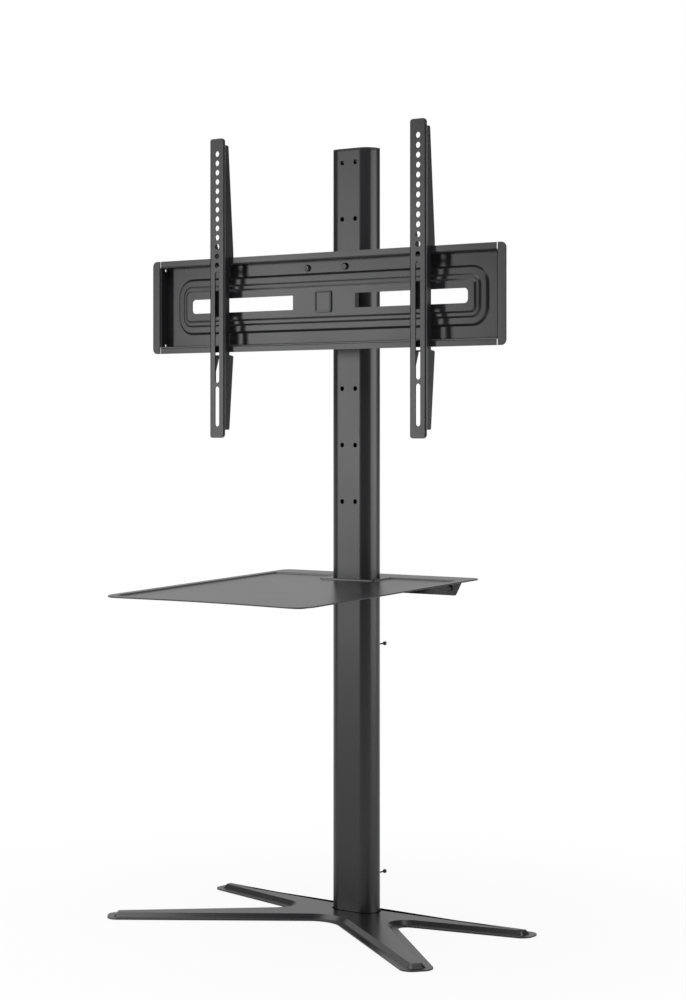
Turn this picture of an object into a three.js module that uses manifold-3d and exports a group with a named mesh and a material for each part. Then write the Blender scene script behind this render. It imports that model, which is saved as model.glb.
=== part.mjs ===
// Floor stand for a flat screen, with a crossbar mount, two sliding arms and a shelf.
// Millimetres, +Z up, the screen side faces -Y. Sizes are taken from the floor and the post's axis,
// and the finished part is then centred over its own footprint.
import * as THREE from 'three';
import { mergeVertices } from 'three/addons/utils/BufferGeometryUtils.js';
import Module from 'manifold-3d';

const wasm = await Module();
wasm.setup();

// Clearances and shared stock
const GAP = 0.3;                     // between pieces that touch
const HOLE_PLAY = 0.35;              // added to a bolt's radius for its hole
const OVERRUN = 2;                   // how far a cutter runs past a face
const SAME_POINT = 1e-4;             // points this close are one
const SHEET = 2;                     // pressed sheet of the crossbar, arms, shelf and base

// Post: a flat-sided oval tube
const POST_WIDTH = 78;
const POST_DEPTH = 40;
const POST_CORNER = 19.5;            // its sides are all but half round
const POST_WALL = 2;
const POST_TOP = 1157;
const POST_HOLE_RADIUS = 3.4;
const POST_HOLE_SPACING = 24.5;      // the two holes of a row
const POST_ROWS = 7;
const POST_ROW_PITCH = 85.3;
const POST_TOP_MARGIN = 18;          // from the top to the first row
const MOUNT_ROW = 2;                 // the adapter's upper row, counted from 0
const CAP_PLATE = 3;
const CAP_PLUG = 18;
const CAP_LIP = 1.5;                 // wall of the cap's plug skirt

// Base: a pressed shell, its edges in plan as lines y = start + slope |x|
const BASE_FRONT_EDGE_START = -61;   // front side of the front legs
const BASE_FRONT_EDGE_SLOPE_SHARE = -0.72;
const BASE_MID_EDGE_START = 54;      // rear side of the front legs
const BASE_MID_EDGE_SLOPE_SHARE = -0.914;
const BASE_SIDE_EDGE_START = -53;    // front side of the rear legs
const BASE_SIDE_EDGE_SLOPE_SHARE = 0.226;
const BASE_REAR_EDGE_START = 28.5;   // rear side of the rear legs
const FRONT_LEG_REACH = 376;         // from the post's axis to a front tip
const FRONT_LEG_DIRECTION_SHARES = [0.777, -0.629];
const REAR_LEG_REACH = 297;
const REAR_TIP_WIDTH = 39.9;
const FRONT_NOTCH_RADIUS = 46;
const SIDE_NOTCH_RADIUS = 16;
const REAR_NOTCH_RADIUS = 120;
const LEG_TIP_RADIUS = 17;
const PAD_STAND = 1;                 // the shell stands this far off the floor
const BASE_HEIGHT = 9;
const FLOOR_FLANGE = 10;             // flat rim on the floor
const BASE_SLOPE_RUN = 6;            // from the rim in to the plateau
const SEAT_MARGIN = 2;               // plateau behind and beside the post
const SEAT_SLOPE_RUN = 4;
const FOOT_PAD_RADIUS = 5;
const FOOT_PAD_INSET = 28;           // from a leg's tip to its pad
const STIFFENER_LENGTH = 90;
const STIFFENER_FRONT = 34;
const STIFFENER_REAR = 11;
const STIFFENER_CORNER = 8;
const STIFFENER_THICKNESS = 3;
const FOOT_BLOCK_HEIGHT = 32;
const BASE_BOLT_RADIUS = 3;
const BASE_BOLT_HEAD_RADIUS = 5.5;
const BASE_BOLT_HEAD = 2;
const BASE_BOLT_LENGTH = 20;
const BASE_BOLT_SPACING_X = 36;
const BASE_BOLT_SPACING_Y = 14;

// Crossbar: a pressed tray that stands in front of the post
const BAR_STANDOFF = 72.5;           // from the post's front to the plane of the lips
const BAR_LENGTH = 662;
const BAR_HEIGHT = 144.6;
const BAR_RISE = 0.75;               // its middle above the adapter's
const BAR_DEPTH = 20;                // from the lips' front to the tray's back
const BAR_LIP = 9.3;
const BAR_END_FLANGE = 14;
const BAR_FLANGE_CORNER = 8;
const BAR_CORNER_NOTCH = 2.5;        // relief between a lip's end and the end flange
const BAR_RELIEF_RADIUS = 2.2;       // relief holes in the tray's end walls
const BAR_RELIEF_AHEAD = 5.5;        // from the field's face to their middle
const SLOT_INNER = 58.5;
const SLOT_END_MARGIN = 12.5;        // from a slot's outer end to the innermost bead's
const SLOT_HEIGHT = 21.5;
const SLOT_OUTER_RADIUS = 6;
const SLOT_INNER_RADIUS = 1;
const BEADS = [                      // stepped beads, outer one first, each set in from the last
  { endInset: 26.5, edgeInset: 20.5, radius: 27, rise: 3 },
  { endInset: 11.5, edgeInset: 12, radius: 17, rise: 2 },
  { endInset: 7, edgeInset: 7, radius: 12, rise: 2 },
];
const BADGE_WIDTH = 31;
const BADGE_HEIGHT = 33;
const BADGE_CORNER = 4;
const BADGE_THICKNESS = 1.6;
const BADGE_RIM = 1.8;
const BADGE_RECESS = 0.6;
const BAR_SCREW_SPACING = 71;
const BAR_SCREW_DROP = 21;           // from the crossbar's top to the screws
const BAR_SCREW_RADIUS = 2.5;
const BAR_SCREW_HEAD_RADIUS = 5;
const BAR_SCREW_HEAD = 3;
const BAR_SCREW_LENGTH = 10;
const DRIVE_RADIUS = 1.7;
const DRIVE_DEPTH = 1.2;

// Adapter: a hat section between post and crossbar
const ADAPTER_WIDTH = 86;            // a hat section, across its two lips
const ADAPTER_WEB = 44;              // across its web, which sits on the post
const ADAPTER_HEIGHT = 118;
const ADAPTER_SHEET = 2.5;
const ADAPTER_BOLT_RADIUS = 3;
const ADAPTER_BOLT_HEAD_RADIUS = 6;
const ADAPTER_BOLT_HEAD = 4;
const ADAPTER_BOLT_LENGTH = 12;
const NUT_BAR_THICKNESS = 5;
const NUT_BAR_HEIGHT = 16;

// Arms: channels hung on the crossbar
const ARM_PLACE = 188.7;             // each arm's middle from the post's axis
const ARM_WIDTH = 30;
const ARM_LENGTH = 457.6;
const ARM_RISE = 181.9;              // from the crossbar's top to the arms' top
const ARM_STAND = 12.2;              // the web's front ahead of the crossbar's lips
const ARM_BEND = 3;
const ARM_END_CORNER = 6.5;
const ARM_FLANGE_TOP = 10.6;         // the web runs past the flanges at the top
const ARM_FLANGE_BOTTOM = 12.4;      // and at the bottom
const ARM_END_DEPTH = 9.7;           // flange depth at the arm's ends
const ARM_ROOT_DEPTH = 21.4;         // flange depth beside the crossbar
const ARM_FOOT_DEPTH = 11.8;
const ARM_INNER_RAMP = 34;          // the left flange falls to its end depth over this height
const HOOK_TOOTH = 6.5;              // how far the hook reaches down behind the lip
const ARM_UNDER = 5.3;               // from the crossbar's lower edge to the flange below it
const ARM_HOLES = 13;
const ARM_HOLE_PITCH = 14.2;
const ARM_HOLE_RADIUS = 4.3;
const ARM_TOP_MARGIN = 23.4;         // from the arm's top to the first hole
const LONG_SLOT_BOTTOM_RISE = 84.1;  // from the arm's foot to the long slot
const LOW_SLOT_TOP_RISE = 78.7;
const LOW_SLOT_BOTTOM_RISE = 17.4;
const BRIDGE_HEIGHT = 40;
const BRIDGE_RISE = 2;               // its middle above the crossbar's
const BRIDGE_SET_BACK = 4.5;         // behind the web's back
const BRIDGE_EAR = 3.5;
const LATCH_DROP = 4.4;              // from the crossbar's lower edge to the latch
const LATCH_BAR = 2;
const LATCH_BAR_SET_BACK = 5;         // leaves room behind the slots for a fixing screw's head
const LATCH_EAR_LENGTH = 49;
const LATCH_EAR_DEPTH = 8;
const LATCH_TRAVEL = 8;
const LATCH_PIN_DROP = 44.4;         // from the latch's top to its pin, hidden between the slots
const LATCH_PIN_RADIUS = 1.5;
const LATCH_PIN_HEAD_RADIUS = 2.6;
const LATCH_PIN_HEAD = 0.8;

// Shelf: a pressed plate that the post passes through, sloping to the front
const SHELF_WIDTH = 374;
const SHELF_FRONT = 367.5;
const SHELF_REAR = 62;
const SHELF_LEVEL = 512;             // of its top at the post's axis
const SHELF_SLOPE_DEGREES = 2.4;
const SHELF_FRONT_RADIUS = 28;
const SHELF_FRONT_SETBACK = 12;      // the front edge is swept back this far at its middle
const SHELF_FRONT_SWEEP = 1200;      // radius of that sweep
const SHELF_REAR_RADIUS = 15;
const SHELF_RIM = 14;
const SHELF_RIM_RISE = 3;
const SHELF_REAR_RIM = 42;
const SHELF_RECESS_RADIUS = 9;
const SHELF_RECESS_RUN = 2.5;        // slope from the rim down to the recess
const SHELF_LAND_WIDTH = 100;        // raised land round the post
const SHELF_LAND_FRONT = 28;
const SHELF_LAND_RADIUS = 6;
const SHELF_POST_PLAY = 0.6;
const BRACKET_BACK = 58;             // its flange, from the post's axis
const BRACKET_TOP_WIDTH = 312;
const BRACKET_FOOT_WIDTH = 284;
const BRACKET_HEIGHT = 25;
const BRACKET_SHEET = 2.5;
const BRACKET_LEDGE = 20;
const BRACKET_CHEEK_FRONT = 12;      // the cheeks reach this far ahead of the post's axis
const SHELF_SCREW_PLACE = 132;
const SHELF_SCREW_DROP = 14;
const SHELF_SCREW_RADIUS = 2.5;
const SHELF_SCREW_HEAD_RADIUS = 5;
const SHELF_SCREW_HEAD = 3;
const SHELF_SCREW_LENGTH = 8;
const SHELF_SKIRT_INSET = 3;         // the shelf's rear skirt is this much smaller than the flange
const SHELF_BOLT_RISE = 6.5;         // from the bracket's foot to the lower cross bolt
const SHELF_BOLT_SPACING = 12;
const SHELF_BOLT_RADIUS = 2.5;
const SHELF_BOLT_HEAD_RADIUS = 4.6;
const SHELF_BOLT_HEAD = 3.5;
const SHELF_BOLT_TAIL = 6;
const SHELF_NUT_THICKNESS = 4;
const SHELF_NUT_RADIUS = 4.6;

// Cable pegs on the back of the post
const PEG_HEIGHTS = { upper: 406.5, lower: 55.6 };
const PEG_LENGTH = 51.7;
const PEG_RADIUS = 1.2;
const PEG_BALL_RADIUS = 3.2;
const PEG_PLUG_RADIUS = 5;
const PEG_PLUG_HEAD = 1.5;
const PEG_PLUG_HEAD_RADIUS = 6.5;
const PEG_PLUG_DEPTH = 6;

// Round stretches
const HOLE_SIDES = 20;
const HEAD_SIDES = 24;
const CORNER_STEPS = 6;
const BEAD_STEPS = 10;
const TIP_STEPS = 8;

// Levels and planes worked out from the sizes above
const POST_FRONT = -POST_DEPTH / 2;
const BASE_LOW = PAD_STAND;
const POST_FOOT = BASE_HEIGHT + GAP;
const BAR_FRONT = POST_FRONT - BAR_STANDOFF;
const BAR_BACK = BAR_FRONT + BAR_DEPTH;
const BAR_CENTRE_Z = (rowHeight(MOUNT_ROW) + rowHeight(MOUNT_ROW + 1)) / 2 + BAR_RISE;
const BAR_TOP = BAR_CENTRE_Z + BAR_HEIGHT / 2;
const BAR_BOTTOM = BAR_CENTRE_Z - BAR_HEIGHT / 2;
const BAR_TRAY_HALF_LENGTH = BAR_LENGTH / 2 - BAR_END_FLANGE;
const BAR_TRAY_HALF_HEIGHT = BAR_HEIGHT / 2 - BAR_LIP;
const BAR_FIELD = BAR_BACK - SHEET;
const BAR_CREST = BAR_FIELD - BEADS.reduce((sum, bead) => sum + bead.rise, 0);
const ARM_FRONT = BAR_FRONT - ARM_STAND;
const ARM_TOP = BAR_TOP + ARM_RISE;
const ARM_FOOT = ARM_TOP - ARM_LENGTH;
const LATCH_TOP = BAR_BOTTOM - LATCH_DROP;
const LATCH_FRONT = ARM_FRONT + SHEET + 2 * GAP;

const STEEL = { color: 0x1f2022, roughness: 0.46, metalness: 0.35 };
const DARK_STEEL = { color: 0x17181a, roughness: 0.5, metalness: 0.4 };
const BOLT_STEEL = { color: 0x111213, roughness: 0.35, metalness: 0.7 };
const PLASTIC = { color: 0x141414, roughness: 0.6, metalness: 0 };
const RUBBER = { color: 0x0d0d0d, roughness: 0.9, metalness: 0 };

const model = new THREE.Group();

// Solids: three.js geometry in and out of closed manifolds

function solid(geometry) {
  const bare = geometry.clone();
  bare.deleteAttribute('normal');
  bare.deleteAttribute('uv');
  const merged = mergeVertices(bare, SAME_POINT);
  return new wasm.Manifold(new wasm.Mesh({
    numProp: 3,
    vertProperties: Float32Array.from(merged.attributes.position.array),
    triVerts: Uint32Array.from(merged.index.array),
  }));
}

function geometryOf(body) {
  const mesh = body.getMesh();
  const geometry = new THREE.BufferGeometry();
  geometry.setAttribute('position', new THREE.BufferAttribute(mesh.vertProperties, 3));
  geometry.setIndex(new THREE.BufferAttribute(mesh.triVerts, 1));
  const flat = geometry.toNonIndexed();
  flat.computeVertexNormals();
  return flat;
}

function joined(bodies) {
  return bodies.reduce((sum, body) => sum.add(body));
}

function cut(body, cutters) {
  return cutters.reduce((left, cutter) => left.subtract(cutter), body);
}

function addPiece(name, body, look) {
  const mesh = new THREE.Mesh(geometryOf(body), new THREE.MeshStandardMaterial(look));
  mesh.name = name;
  model.add(mesh);
  return mesh;
}

// Blocks between two corners, and rods along an axis

function block([x0, x1], [y0, y1], [z0, z1]) {
  const box = new THREE.BoxGeometry(x1 - x0, y1 - y0, z1 - z0);
  return solid(box.translate((x0 + x1) / 2, (y0 + y1) / 2, (z0 + z1) / 2));
}

function rodAlong(axis, radius, [from, to], centre, sides = HOLE_SIDES) {
  const rod = new THREE.CylinderGeometry(radius, radius, to - from, sides);
  if (axis === 'x') rod.rotateZ(-Math.PI / 2);
  if (axis === 'z') rod.rotateX(Math.PI / 2);
  const middle = { x: centre[0], y: centre[1], z: centre[2] };
  middle[axis] = (from + to) / 2;
  return solid(rod.translate(middle.x, middle.y, middle.z));
}

// Outlines with rounded corners: each corner is { x, y, r } and an inset keeps the arcs' centres

function signedArea(corners) {
  return corners.reduce((sum, a, i) => {
    const b = corners[(i + 1) % corners.length];
    return sum + (a.x * b.y - b.x * a.y) / 2;
  }, 0);
}

function insetCorner(before, here, after, inset) {
  const into = new THREE.Vector2(here.x - before.x, here.y - before.y).normalize();
  const out = new THREE.Vector2(after.x - here.x, after.y - here.y).normalize();
  const turn = into.cross(out);
  const bisector = new THREE.Vector2(-into.y - out.y, into.x + out.x);
  const reach = bisector.multiplyScalar(1 / (1 + into.dot(out)));
  const corner = new THREE.Vector2(here.x + reach.x * inset, here.y + reach.y * inset);
  const radius = here.r - Math.sign(turn) * inset;
  return { corner, into, out, turn, radius };
}

function roundedOutline(corners, inset = 0, steps = CORNER_STEPS) {
  const ccw = signedArea(corners) > 0 ? corners : [...corners].reverse();
  const points = [];
  ccw.forEach((here, i) => {
    const before = ccw[(i + ccw.length - 1) % ccw.length];
    const after = ccw[(i + 1) % ccw.length];
    const { corner, into, out, turn, radius } = insetCorner(before, here, after, inset);
    const angle = Math.acos(THREE.MathUtils.clamp(into.dot(out), -1, 1));
    const setback = radius * Math.tan(angle / 2);
    const start = corner.clone().addScaledVector(into, -setback);
    const side = new THREE.Vector2(-into.y, into.x).multiplyScalar(Math.sign(turn));
    const centre = start.clone().addScaledVector(side, radius);
    for (let step = 0; step <= steps; step += 1) {
      const spoke = start.clone().sub(centre);
      spoke.rotateAround(new THREE.Vector2(), (Math.sign(turn) * angle * step) / steps);
      points.push(centre.clone().add(spoke));
    }
  });
  return points;
}

function rectangle(halfX, halfY, r, [midX, midY] = [0, 0]) {
  return [[-1, -1], [1, -1], [1, 1], [-1, 1]].map(([sideX, sideY]) => (
    { x: midX + sideX * halfX, y: midY + sideY * halfY, r }));
}

function circle(radius, [x, y] = [0, 0], sides = HOLE_SIDES) {
  return Array.from({ length: sides }, (_, i) => {
    const angle = (2 * Math.PI * i) / sides;
    return new THREE.Vector2(x + radius * Math.cos(angle), y + radius * Math.sin(angle));
  });
}

// Prisms: an outline extruded along one axis, between two planes

function extruded(outline, depth, holes) {
  const shape = new THREE.Shape(outline);
  holes.forEach((hole) => shape.holes.push(new THREE.Path(hole)));
  return new THREE.ExtrudeGeometry(shape, { depth, bevelEnabled: false, steps: 1 });
}

function prismZ(outline, [low, high], holes = []) {
  return solid(extruded(outline, high - low, holes).translate(0, 0, low));
}

function prismY(outline, [front, back], holes = []) {
  return solid(extruded(outline, back - front, holes).rotateX(Math.PI / 2).translate(0, back, 0));
}

function prismX(outline, [left, right], holes = []) {
  const turned = extruded(outline, right - left, holes);
  turned.applyMatrix4(new THREE.Matrix4().set(0, 0, 1, 0, 1, 0, 0, 0, 0, 1, 0, 0, 0, 0, 0, 1));
  return solid(turned.translate(left, 0, 0));
}

// A closed shell through rings of equal count, with the first and last ring capped

function loft(rings) {
  const count = rings[0].outline.length;
  const positions = rings.flatMap((ring) => ring.outline.flatMap((p) => [p.x, p.y, ring.z]));
  const faces = [];
  for (let row = 0; row + 1 < rings.length; row += 1) {
    for (let i = 0; i < count; i += 1) {
      const a = row * count + i;
      const b = row * count + ((i + 1) % count);
      faces.push(a, b, b + count, a, b + count, a + count);
    }
  }
  const last = (rings.length - 1) * count;
  THREE.ShapeUtils.triangulateShape(rings[0].outline, []).forEach(([a, b, c]) => faces.push(a, c, b));
  THREE.ShapeUtils.triangulateShape(rings.at(-1).outline, []).forEach(([a, b, c]) => (
    faces.push(last + a, last + b, last + c)));
  const geometry = new THREE.BufferGeometry();
  geometry.setAttribute('position', new THREE.Float32BufferAttribute(positions, 3));
  geometry.setIndex(faces);
  return solid(geometry);
}

// Fasteners: a head and a shank along one axis, the head on the side that `towards` names

function bolt(axis, centre, face, sizes, towards = -1) {
  const { radius, headRadius, head, length, sides = HEAD_SIDES, drive = 0 } = sizes;
  const span = (a, b) => (towards < 0 ? [a, b] : [2 * face - b, 2 * face - a]);
  const parts = [
    rodAlong(axis, headRadius, span(face - head, face), centre, sides),
    rodAlong(axis, radius, span(face - OVERRUN / 2, face + length), centre),
  ];
  const socket = rodAlong(axis, drive || radius / 2, span(face - head - OVERRUN, face - head + DRIVE_DEPTH),
    centre, 6);
  return drive ? cut(joined(parts), [socket]) : joined(parts);
}

// Base

function baseCorner(x, y, r) {
  return { x, y, r };
}

function rearTipFront() {
  return BASE_SIDE_EDGE_START + BASE_SIDE_EDGE_SLOPE_SHARE * REAR_LEG_REACH;
}

function baseCorners() {
  const [alongX, alongY] = FRONT_LEG_DIRECTION_SHARES;
  const tipOn = (start, slope) => {
    const x = (FRONT_LEG_REACH - alongY * start) / (alongX + alongY * slope);
    return [x, start + slope * x];
  };
  const slopeShares = BASE_MID_EDGE_SLOPE_SHARE - BASE_SIDE_EDGE_SLOPE_SHARE;
  const notchX = (BASE_SIDE_EDGE_START - BASE_MID_EDGE_START) / slopeShares;
  const rearX = REAR_LEG_REACH;
  const right = [
    baseCorner(...tipOn(BASE_FRONT_EDGE_START, BASE_FRONT_EDGE_SLOPE_SHARE), LEG_TIP_RADIUS),
    baseCorner(...tipOn(BASE_MID_EDGE_START, BASE_MID_EDGE_SLOPE_SHARE), LEG_TIP_RADIUS),
    baseCorner(notchX, BASE_MID_EDGE_START + BASE_MID_EDGE_SLOPE_SHARE * notchX, SIDE_NOTCH_RADIUS),
    baseCorner(rearX, rearTipFront(), LEG_TIP_RADIUS),
    baseCorner(rearX, rearTipFront() + REAR_TIP_WIDTH, LEG_TIP_RADIUS),
  ];
  const left = right.map((corner) => ({ ...corner, x: -corner.x })).reverse();
  const frontNotch = { x: 0, y: BASE_FRONT_EDGE_START, r: FRONT_NOTCH_RADIUS };
  const rearNotch = { x: 0, y: BASE_REAR_EDGE_START, r: REAR_NOTCH_RADIUS };
  return [frontNotch, ...right, rearNotch, ...left];
}

function baseBoltPlaces() {
  return [-1, 1].flatMap((sideX) => [-1, 1].map((sideY) => (
    [(sideX * BASE_BOLT_SPACING_X) / 2, (sideY * BASE_BOLT_SPACING_Y) / 2])));
}

function baseBoltHoles(top) {
  return baseBoltPlaces().map(([x, y]) => (
    rodAlong('z', BASE_BOLT_RADIUS + HOLE_PLAY, [-OVERRUN, top + OVERRUN], [x, y, 0])));
}

function seatOutline(spread) {
  const halfX = POST_WIDTH / 2 + SEAT_MARGIN;
  const halfY = POST_DEPTH / 2 + SEAT_MARGIN;
  return roundedOutline(rectangle(halfX, halfY, POST_CORNER + SEAT_MARGIN), -spread, TIP_STEPS);
}

function baseShell() {
  const corners = baseCorners();
  const ring = (inset, z) => ({ outline: roundedOutline(corners, inset, TIP_STEPS), z });
  const slopeStart = FLOOR_FLANGE;
  const slopeEnd = FLOOR_FLANGE + BASE_SLOPE_RUN;
  const outer = loft([ring(0, BASE_LOW), ring(0, BASE_LOW + SHEET),
    ring(slopeStart, BASE_LOW + SHEET), ring(slopeEnd, BASE_HEIGHT)]);
  const inner = loft([ring(slopeStart, BASE_LOW - OVERRUN), ring(slopeStart, BASE_LOW),
    ring(slopeEnd, BASE_HEIGHT - SHEET)]);
  const wide = seatOutline(SEAT_SLOPE_RUN);
  const seat = loft([{ outline: wide, z: BASE_LOW }, { outline: wide, z: BASE_LOW + SHEET },
    { outline: seatOutline(0), z: BASE_HEIGHT }]);
  const underSeat = loft([{ outline: wide, z: BASE_LOW - OVERRUN }, { outline: wide, z: BASE_LOW },
    { outline: seatOutline(0), z: BASE_HEIGHT - SHEET }]);
  return cut(outer.add(seat), [inner, underSeat, ...baseBoltHoles(BASE_HEIGHT)]);
}

function baseStiffener() {
  const top = BASE_HEIGHT - SHEET - GAP;
  const halfDepth = (STIFFENER_FRONT + STIFFENER_REAR) / 2;
  const outline = roundedOutline(rectangle(STIFFENER_LENGTH / 2, halfDepth, STIFFENER_CORNER,
    [0, STIFFENER_REAR - halfDepth]));
  return cut(prismZ(outline, [top - STIFFENER_THICKNESS, top]), baseBoltHoles(BASE_HEIGHT));
}

function baseBolt(x, y) {
  const seat = BASE_HEIGHT - SHEET - STIFFENER_THICKNESS - 2 * GAP;
  return bolt('z', [x, y, 0], seat, {
    radius: BASE_BOLT_RADIUS, headRadius: BASE_BOLT_HEAD_RADIUS, head: BASE_BOLT_HEAD,
    length: BASE_BOLT_LENGTH, drive: DRIVE_RADIUS,
  });
}

function footPad(x, y) {
  return rodAlong('z', FOOT_PAD_RADIUS, [0, BASE_HEIGHT - SHEET - GAP], [x, y, 0], HEAD_SIDES);
}

function footPadPlaces() {
  const [, front, frontBack] = baseCorners();
  const [alongX, alongY] = FRONT_LEG_DIRECTION_SHARES;
  const rearX = REAR_LEG_REACH - FOOT_PAD_INSET;
  const start = (BASE_SIDE_EDGE_START + BASE_REAR_EDGE_START) / 2;
  const tip = rearTipFront() + REAR_TIP_WIDTH / 2;
  return {
    front: [(front.x + frontBack.x) / 2 - FOOT_PAD_INSET * alongX,
      (front.y + frontBack.y) / 2 - FOOT_PAD_INSET * alongY],
    rear: [rearX, start + ((tip - start) * rearX) / REAR_LEG_REACH],
  };
}

function addBase() {
  addPiece('base_shell', baseShell(), STEEL);
  addPiece('base_stiffener', baseStiffener(), DARK_STEEL);
  baseBoltPlaces().forEach(([x, y], i) => addPiece(`base_bolt_${i + 1}`, baseBolt(x, y), BOLT_STEEL));
  Object.entries(footPadPlaces()).forEach(([end, [x, y]]) => {
    addPiece(`foot_pad_${end}_left`, footPad(-x, y), RUBBER);
    addPiece(`foot_pad_${end}_right`, footPad(x, y), RUBBER);
  });
}

// Post

function postOutline(inset) {
  return roundedOutline(rectangle(POST_WIDTH / 2, POST_DEPTH / 2, POST_CORNER), inset);
}

function rowHeight(row) {
  return POST_TOP - POST_TOP_MARGIN - row * POST_ROW_PITCH;
}

function shelfBoltHeights() {
  const lower = SHELF_LEVEL - SHEET - GAP - BRACKET_HEIGHT + SHELF_BOLT_RISE;
  return { lower, upper: lower + SHELF_BOLT_SPACING };
}

function shelfBoltHoles() {
  return Object.values(shelfBoltHeights()).map((z) => rodAlong('x', SHELF_BOLT_RADIUS + HOLE_PLAY,
    [-POST_WIDTH, POST_WIDTH], [0, 0, z]));
}

function postTube() {
  const tube = prismZ(postOutline(0), [POST_FOOT, POST_TOP], [postOutline(POST_WALL)]);
  const cutters = shelfBoltHoles();
  for (let row = 0; row < POST_ROWS; row += 1) {
    [-1, 1].forEach((side) => cutters.push(rodAlong('y', POST_HOLE_RADIUS,
      [POST_FRONT - OVERRUN, POST_FRONT + POST_WALL + OVERRUN],
      [(side * POST_HOLE_SPACING) / 2, 0, rowHeight(row)])));
  }
  Object.values(PEG_HEIGHTS).forEach((z) => cutters.push(rodAlong('y', PEG_PLUG_RADIUS + HOLE_PLAY,
    [POST_DEPTH / 2 - POST_WALL - OVERRUN, POST_DEPTH / 2 + OVERRUN], [0, 0, z])));
  return cut(tube, cutters);
}

function postCap() {
  const plate = prismZ(postOutline(0), [POST_TOP + GAP, POST_TOP + GAP + CAP_PLATE]);
  const skirt = prismZ(postOutline(POST_WALL + GAP), [POST_TOP - CAP_PLUG, POST_TOP + GAP + OVERRUN / 2],
    [postOutline(POST_WALL + GAP + CAP_LIP)]);
  return joined([plate, skirt]);
}

function postFootBlock() {
  const body = prismZ(postOutline(POST_WALL + GAP), [POST_FOOT, POST_FOOT + FOOT_BLOCK_HEIGHT]);
  return cut(body, baseBoltHoles(BASE_HEIGHT + BASE_BOLT_LENGTH));
}

function addPost() {
  addPiece('post_tube', postTube(), STEEL);
  addPiece('post_cap', postCap(), PLASTIC);
  addPiece('post_foot_block', postFootBlock(), DARK_STEEL);
}

// Adapter between post and crossbar

function adapterOutline() {
  const half = ADAPTER_WIDTH / 2;
  const web = ADAPTER_WEB / 2;
  const sheet = ADAPTER_SHEET;
  const front = BAR_BACK + GAP;
  const back = POST_FRONT - GAP;
  return [[-half, front], [-web + sheet, front], [-web + sheet, back - sheet],
    [web - sheet, back - sheet], [web - sheet, front], [half, front], [half, front + sheet],
    [web, front + sheet], [web, back], [-web, back], [-web, front + sheet],
    [-half, front + sheet]].map(([x, y]) => new THREE.Vector2(x, y));
}

function adapterBoltPlaces() {
  return [0, 1].flatMap((below) => [-1, 1].map((side) => (
    [(side * POST_HOLE_SPACING) / 2, rowHeight(MOUNT_ROW + below)])));
}

function barScrewPlaces() {
  return [-1, 1].map((side) => [(side * BAR_SCREW_SPACING) / 2, BAR_TOP - BAR_SCREW_DROP]);
}

function mountAdapter() {
  const middle = (rowHeight(MOUNT_ROW) + rowHeight(MOUNT_ROW + 1)) / 2;
  const channel = prismZ(adapterOutline(), [middle - ADAPTER_HEIGHT / 2, middle + ADAPTER_HEIGHT / 2]);
  const backHoles = adapterBoltPlaces().map(([x, z]) => rodAlong('y', ADAPTER_BOLT_RADIUS + HOLE_PLAY,
    [POST_FRONT - ADAPTER_SHEET - OVERRUN, POST_FRONT + OVERRUN], [x, 0, z]));
  const lipHoles = barScrewPlaces().map(([x, z]) => rodAlong('y', BAR_SCREW_RADIUS + HOLE_PLAY,
    [BAR_BACK - OVERRUN, BAR_BACK + ADAPTER_SHEET + OVERRUN], [x, 0, z]));
  return cut(channel, [...backHoles, ...lipHoles]);
}

function adapterBolt(x, z) {
  return bolt('y', [x, 0, z], POST_FRONT - ADAPTER_SHEET - 2 * GAP, {
    radius: ADAPTER_BOLT_RADIUS, headRadius: ADAPTER_BOLT_HEAD_RADIUS, head: ADAPTER_BOLT_HEAD,
    length: ADAPTER_BOLT_LENGTH, sides: 6,
  });
}

function nutBar(row) {
  const z = rowHeight(row);
  const front = POST_FRONT + POST_WALL + GAP;
  const halfX = POST_WIDTH / 2 - POST_CORNER;
  const bar = block([-halfX, halfX], [front, front + NUT_BAR_THICKNESS],
    [z - NUT_BAR_HEIGHT / 2, z + NUT_BAR_HEIGHT / 2]);
  return cut(bar, [-1, 1].map((side) => rodAlong('y', ADAPTER_BOLT_RADIUS + HOLE_PLAY,
    [front - OVERRUN, front + NUT_BAR_THICKNESS + OVERRUN], [(side * POST_HOLE_SPACING) / 2, 0, z])));
}

function addAdapter() {
  addPiece('mount_adapter', mountAdapter(), DARK_STEEL);
  adapterBoltPlaces().forEach(([x, z], i) => (
    addPiece(`adapter_bolt_${i + 1}`, adapterBolt(x, z), BOLT_STEEL)));
  addPiece('nut_bar_upper', nutBar(MOUNT_ROW), DARK_STEEL);
  addPiece('nut_bar_lower', nutBar(MOUNT_ROW + 1), DARK_STEEL);
}

// Crossbar

function barRectangle(halfX, halfZ, r) {
  return rectangle(halfX, halfZ, r, [0, BAR_CENTRE_Z]);
}

function beadSpan(index) {
  const upTo = BEADS.slice(0, index + 1);
  const halfLength = upTo.reduce((half, bead) => half - bead.endInset, BAR_TRAY_HALF_LENGTH);
  const halfHeight = upTo.reduce((half, bead) => half - bead.edgeInset, BAR_TRAY_HALF_HEIGHT);
  return { halfLength, halfHeight };
}

function beadOutline(index, inset = 0) {
  const { halfLength, halfHeight } = beadSpan(index);
  const { radius } = BEADS[index];
  return roundedOutline(barRectangle(halfLength, halfHeight, radius), inset, BEAD_STEPS);
}

function barTray() {
  const edge = (r) => barRectangle(BAR_TRAY_HALF_LENGTH, BAR_TRAY_HALF_HEIGHT, r);
  const field = roundedOutline(edge(SHEET), 0, 2);
  const inside = roundedOutline(edge(SHEET + GAP), SHEET, 2);
  const plate = prismY(field, [BAR_FIELD, BAR_BACK], [beadOutline(0, SHEET)]);
  const walls = prismY(field, [BAR_FRONT, BAR_BACK], [inside]);
  return [plate, walls];
}

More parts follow.
